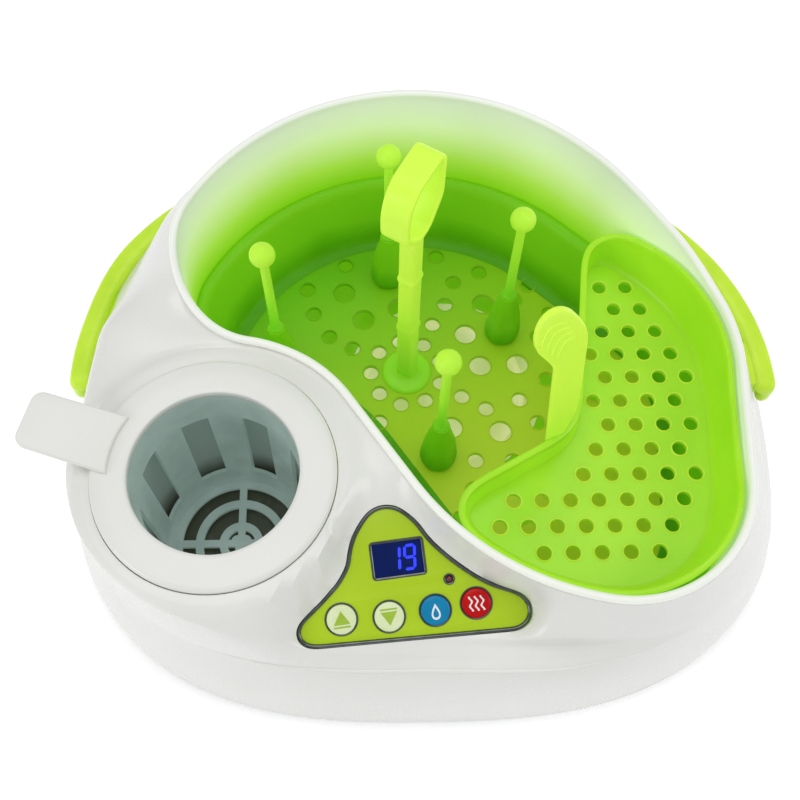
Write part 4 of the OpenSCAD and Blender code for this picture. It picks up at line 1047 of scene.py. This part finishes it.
# Accessory tray: a shallow drafted tray of bright green polypropylene that covers the front right of the rack.
# Its rolled lip and the raised rims of its holes catch the light, and a ribbed spoon handle lifts it.
# Bright polypropylene: a clear fresh green with a wet gloss, paler where light soaks through the wall, and a painted
# glow.
tray_clear = clear_plastic("bright_green_polypropylene", "AADE2E", "9CD422", 0.22, 0.17, 0.4, 45)
tray_low, tray_z = 89.5, 92
tray_path = rounded(spaced(node_loops("accessory_tray", lambda p: p, tray_low)[0], 1.5), 4.0)
tray_section = [(1.2, 107.5), (1.2, 108.3), (0.7, 108.85), (-0.2, 109.0), (-1.2, 108.9), (-1.8, 108.2),
                (-2.1, 106.6), (-3.6, 99.0), (-4.3, 96.0), (-5.2, 93.9), (-6.4, 92.6), (-7.8, tray_z),
                (-7.8, tray_low), (-6.2, tray_low), (-4.6, 90.2), (-3.4, 91.8), (-2.4, 95.0), (-0.4, 106.4),
                (0.2, 107.1)]

# Beside the chamber's wall the tray's own wall is steep and its lip is raised.
chamber_wall = chamber(-2.6)
from_wall = np.array([gap(chamber_wall, q) for q in tray_path])
steep = rounded(1 - 0.6 * ease((from_wall - 2) / 8)[:, None], 6.0)[:, 0]
beside = (steep - 0.4) / 0.6 * ease((tray_path[:, 0] - 70) / 50)
tray_section = [((out if out > -2 else out * steep) + 0.5 * beside * (z > 100),
                 z + 7.5 * beside * np.clip((z - tray_z) / 17, 0, 1)) for out, z in tray_section]
tray_floor = grown(tray_path, -7.3 * steep)
tray_holes = [(p, r) for p, r in round_holes("accessory_tray", tray_low, 2.5)
              if inside(p[None], tray_floor)[0] and gap(tray_floor, p) > r + 0.4]
tray_feet = []
for middle, r, way in ((chin, chin_r, 240), (lobe, lobe_r, -50), (cheek, cheek_r, 20)):
    spot = np.append(middle + (r - 5) * unit(way), 0)
    tray_feet.append(turned([(0.001, 83.3), (1.6, 83.3), (2.0, 83.7), (2.0, 91.0), (0.001, 91.0)],
                            lambda p: p + spot, 32))
piece("accessory_tray_wall", [along_edge(tray_path, tray_section)] + tray_feet, tray_clear, "tray",
      ["accessory_tray"], 50)
piece("accessory_tray_floor", [plate([tray_floor] + [p + r * circle_96[::2] for p, r in tray_holes],
                                     tray_low, tray_z, 0.3)],
      tray_clear, "tray", crisp=12)
# The hole rims are given the paler lime plastic of the handles, a painted highlight on the tray's own moulding.
piece("accessory_tray_hole_rims", hole_rims(tray_holes, [(0.0, 91.8), (0.1, 92.45), (0.5, 92.55), (0.9, 91.9)]),
      lime_clear, "tray", crisp=60)

handle_at = np.array((51, -42, 91))
handle_axes = np.array(Matrix.Rotation(math.radians(-5), 3, "Y") @ Matrix.Rotation(math.radians(22), 3, "Z"))


def on_tray_handle(p):
    """x across the blade, y up it, z out of its face."""
    p = np.asarray(p, float)
    return np.stack([p[:, 0], -p[:, 2], p[:, 1]], 1) @ handle_axes.T + handle_at


blade = np.array(((0, 1), (0, 85), (-1.7, 91), (-4.5, 98), (-7.8, 105.5), (-9.5, 112), (-9.9, 117.5),
                  (-9.4, 124.5), (-7.7, 130), (-5.2, 133.2), (-2, 134), (1, 132.6), (4.5, 128), (8, 120.6),
                  (11, 112.7), (12.4, 106), (12.9, 99), (13.1, 90), (13.5, 60), (13.4, 40), (11.4, 29), (8.6, 20),
                  (7.2, 12), (7, 1)))
blade = rounded(spaced(blade[::-1], 0.8), 2.0)
ribs_on_head = []
for k in range(4):
    x = np.linspace(-7.4 + 2.4 * k, 2.2 + 1.6 * k, 24)
    mid = np.stack([x, 128 - 5.2 * k - 0.5 * (x - x[0]) - 15.5 * np.exp(-(x - x[0]) / 1.9)], 1)
    tube = [np.stack([np.array((p[0], p[1] + 0.45 * math.cos(q), 1.2 + 0.55 * math.sin(q)))
                      for q in np.arange(10) * math.pi / 5]) for p in mid]
    points, faces = skin(tube, False, True)
    ribs_on_head.append((on_tray_handle(points), faces))
# The spoon handle takes the stem's plastic: painted light paler at its top, painted shade lower down.
piece("accessory_tray_handle", [plate([blade], -1.3, 1.3, 0.7, on_tray_handle)] + ribs_on_head,
      stem_clear, "tray", crisp=45)
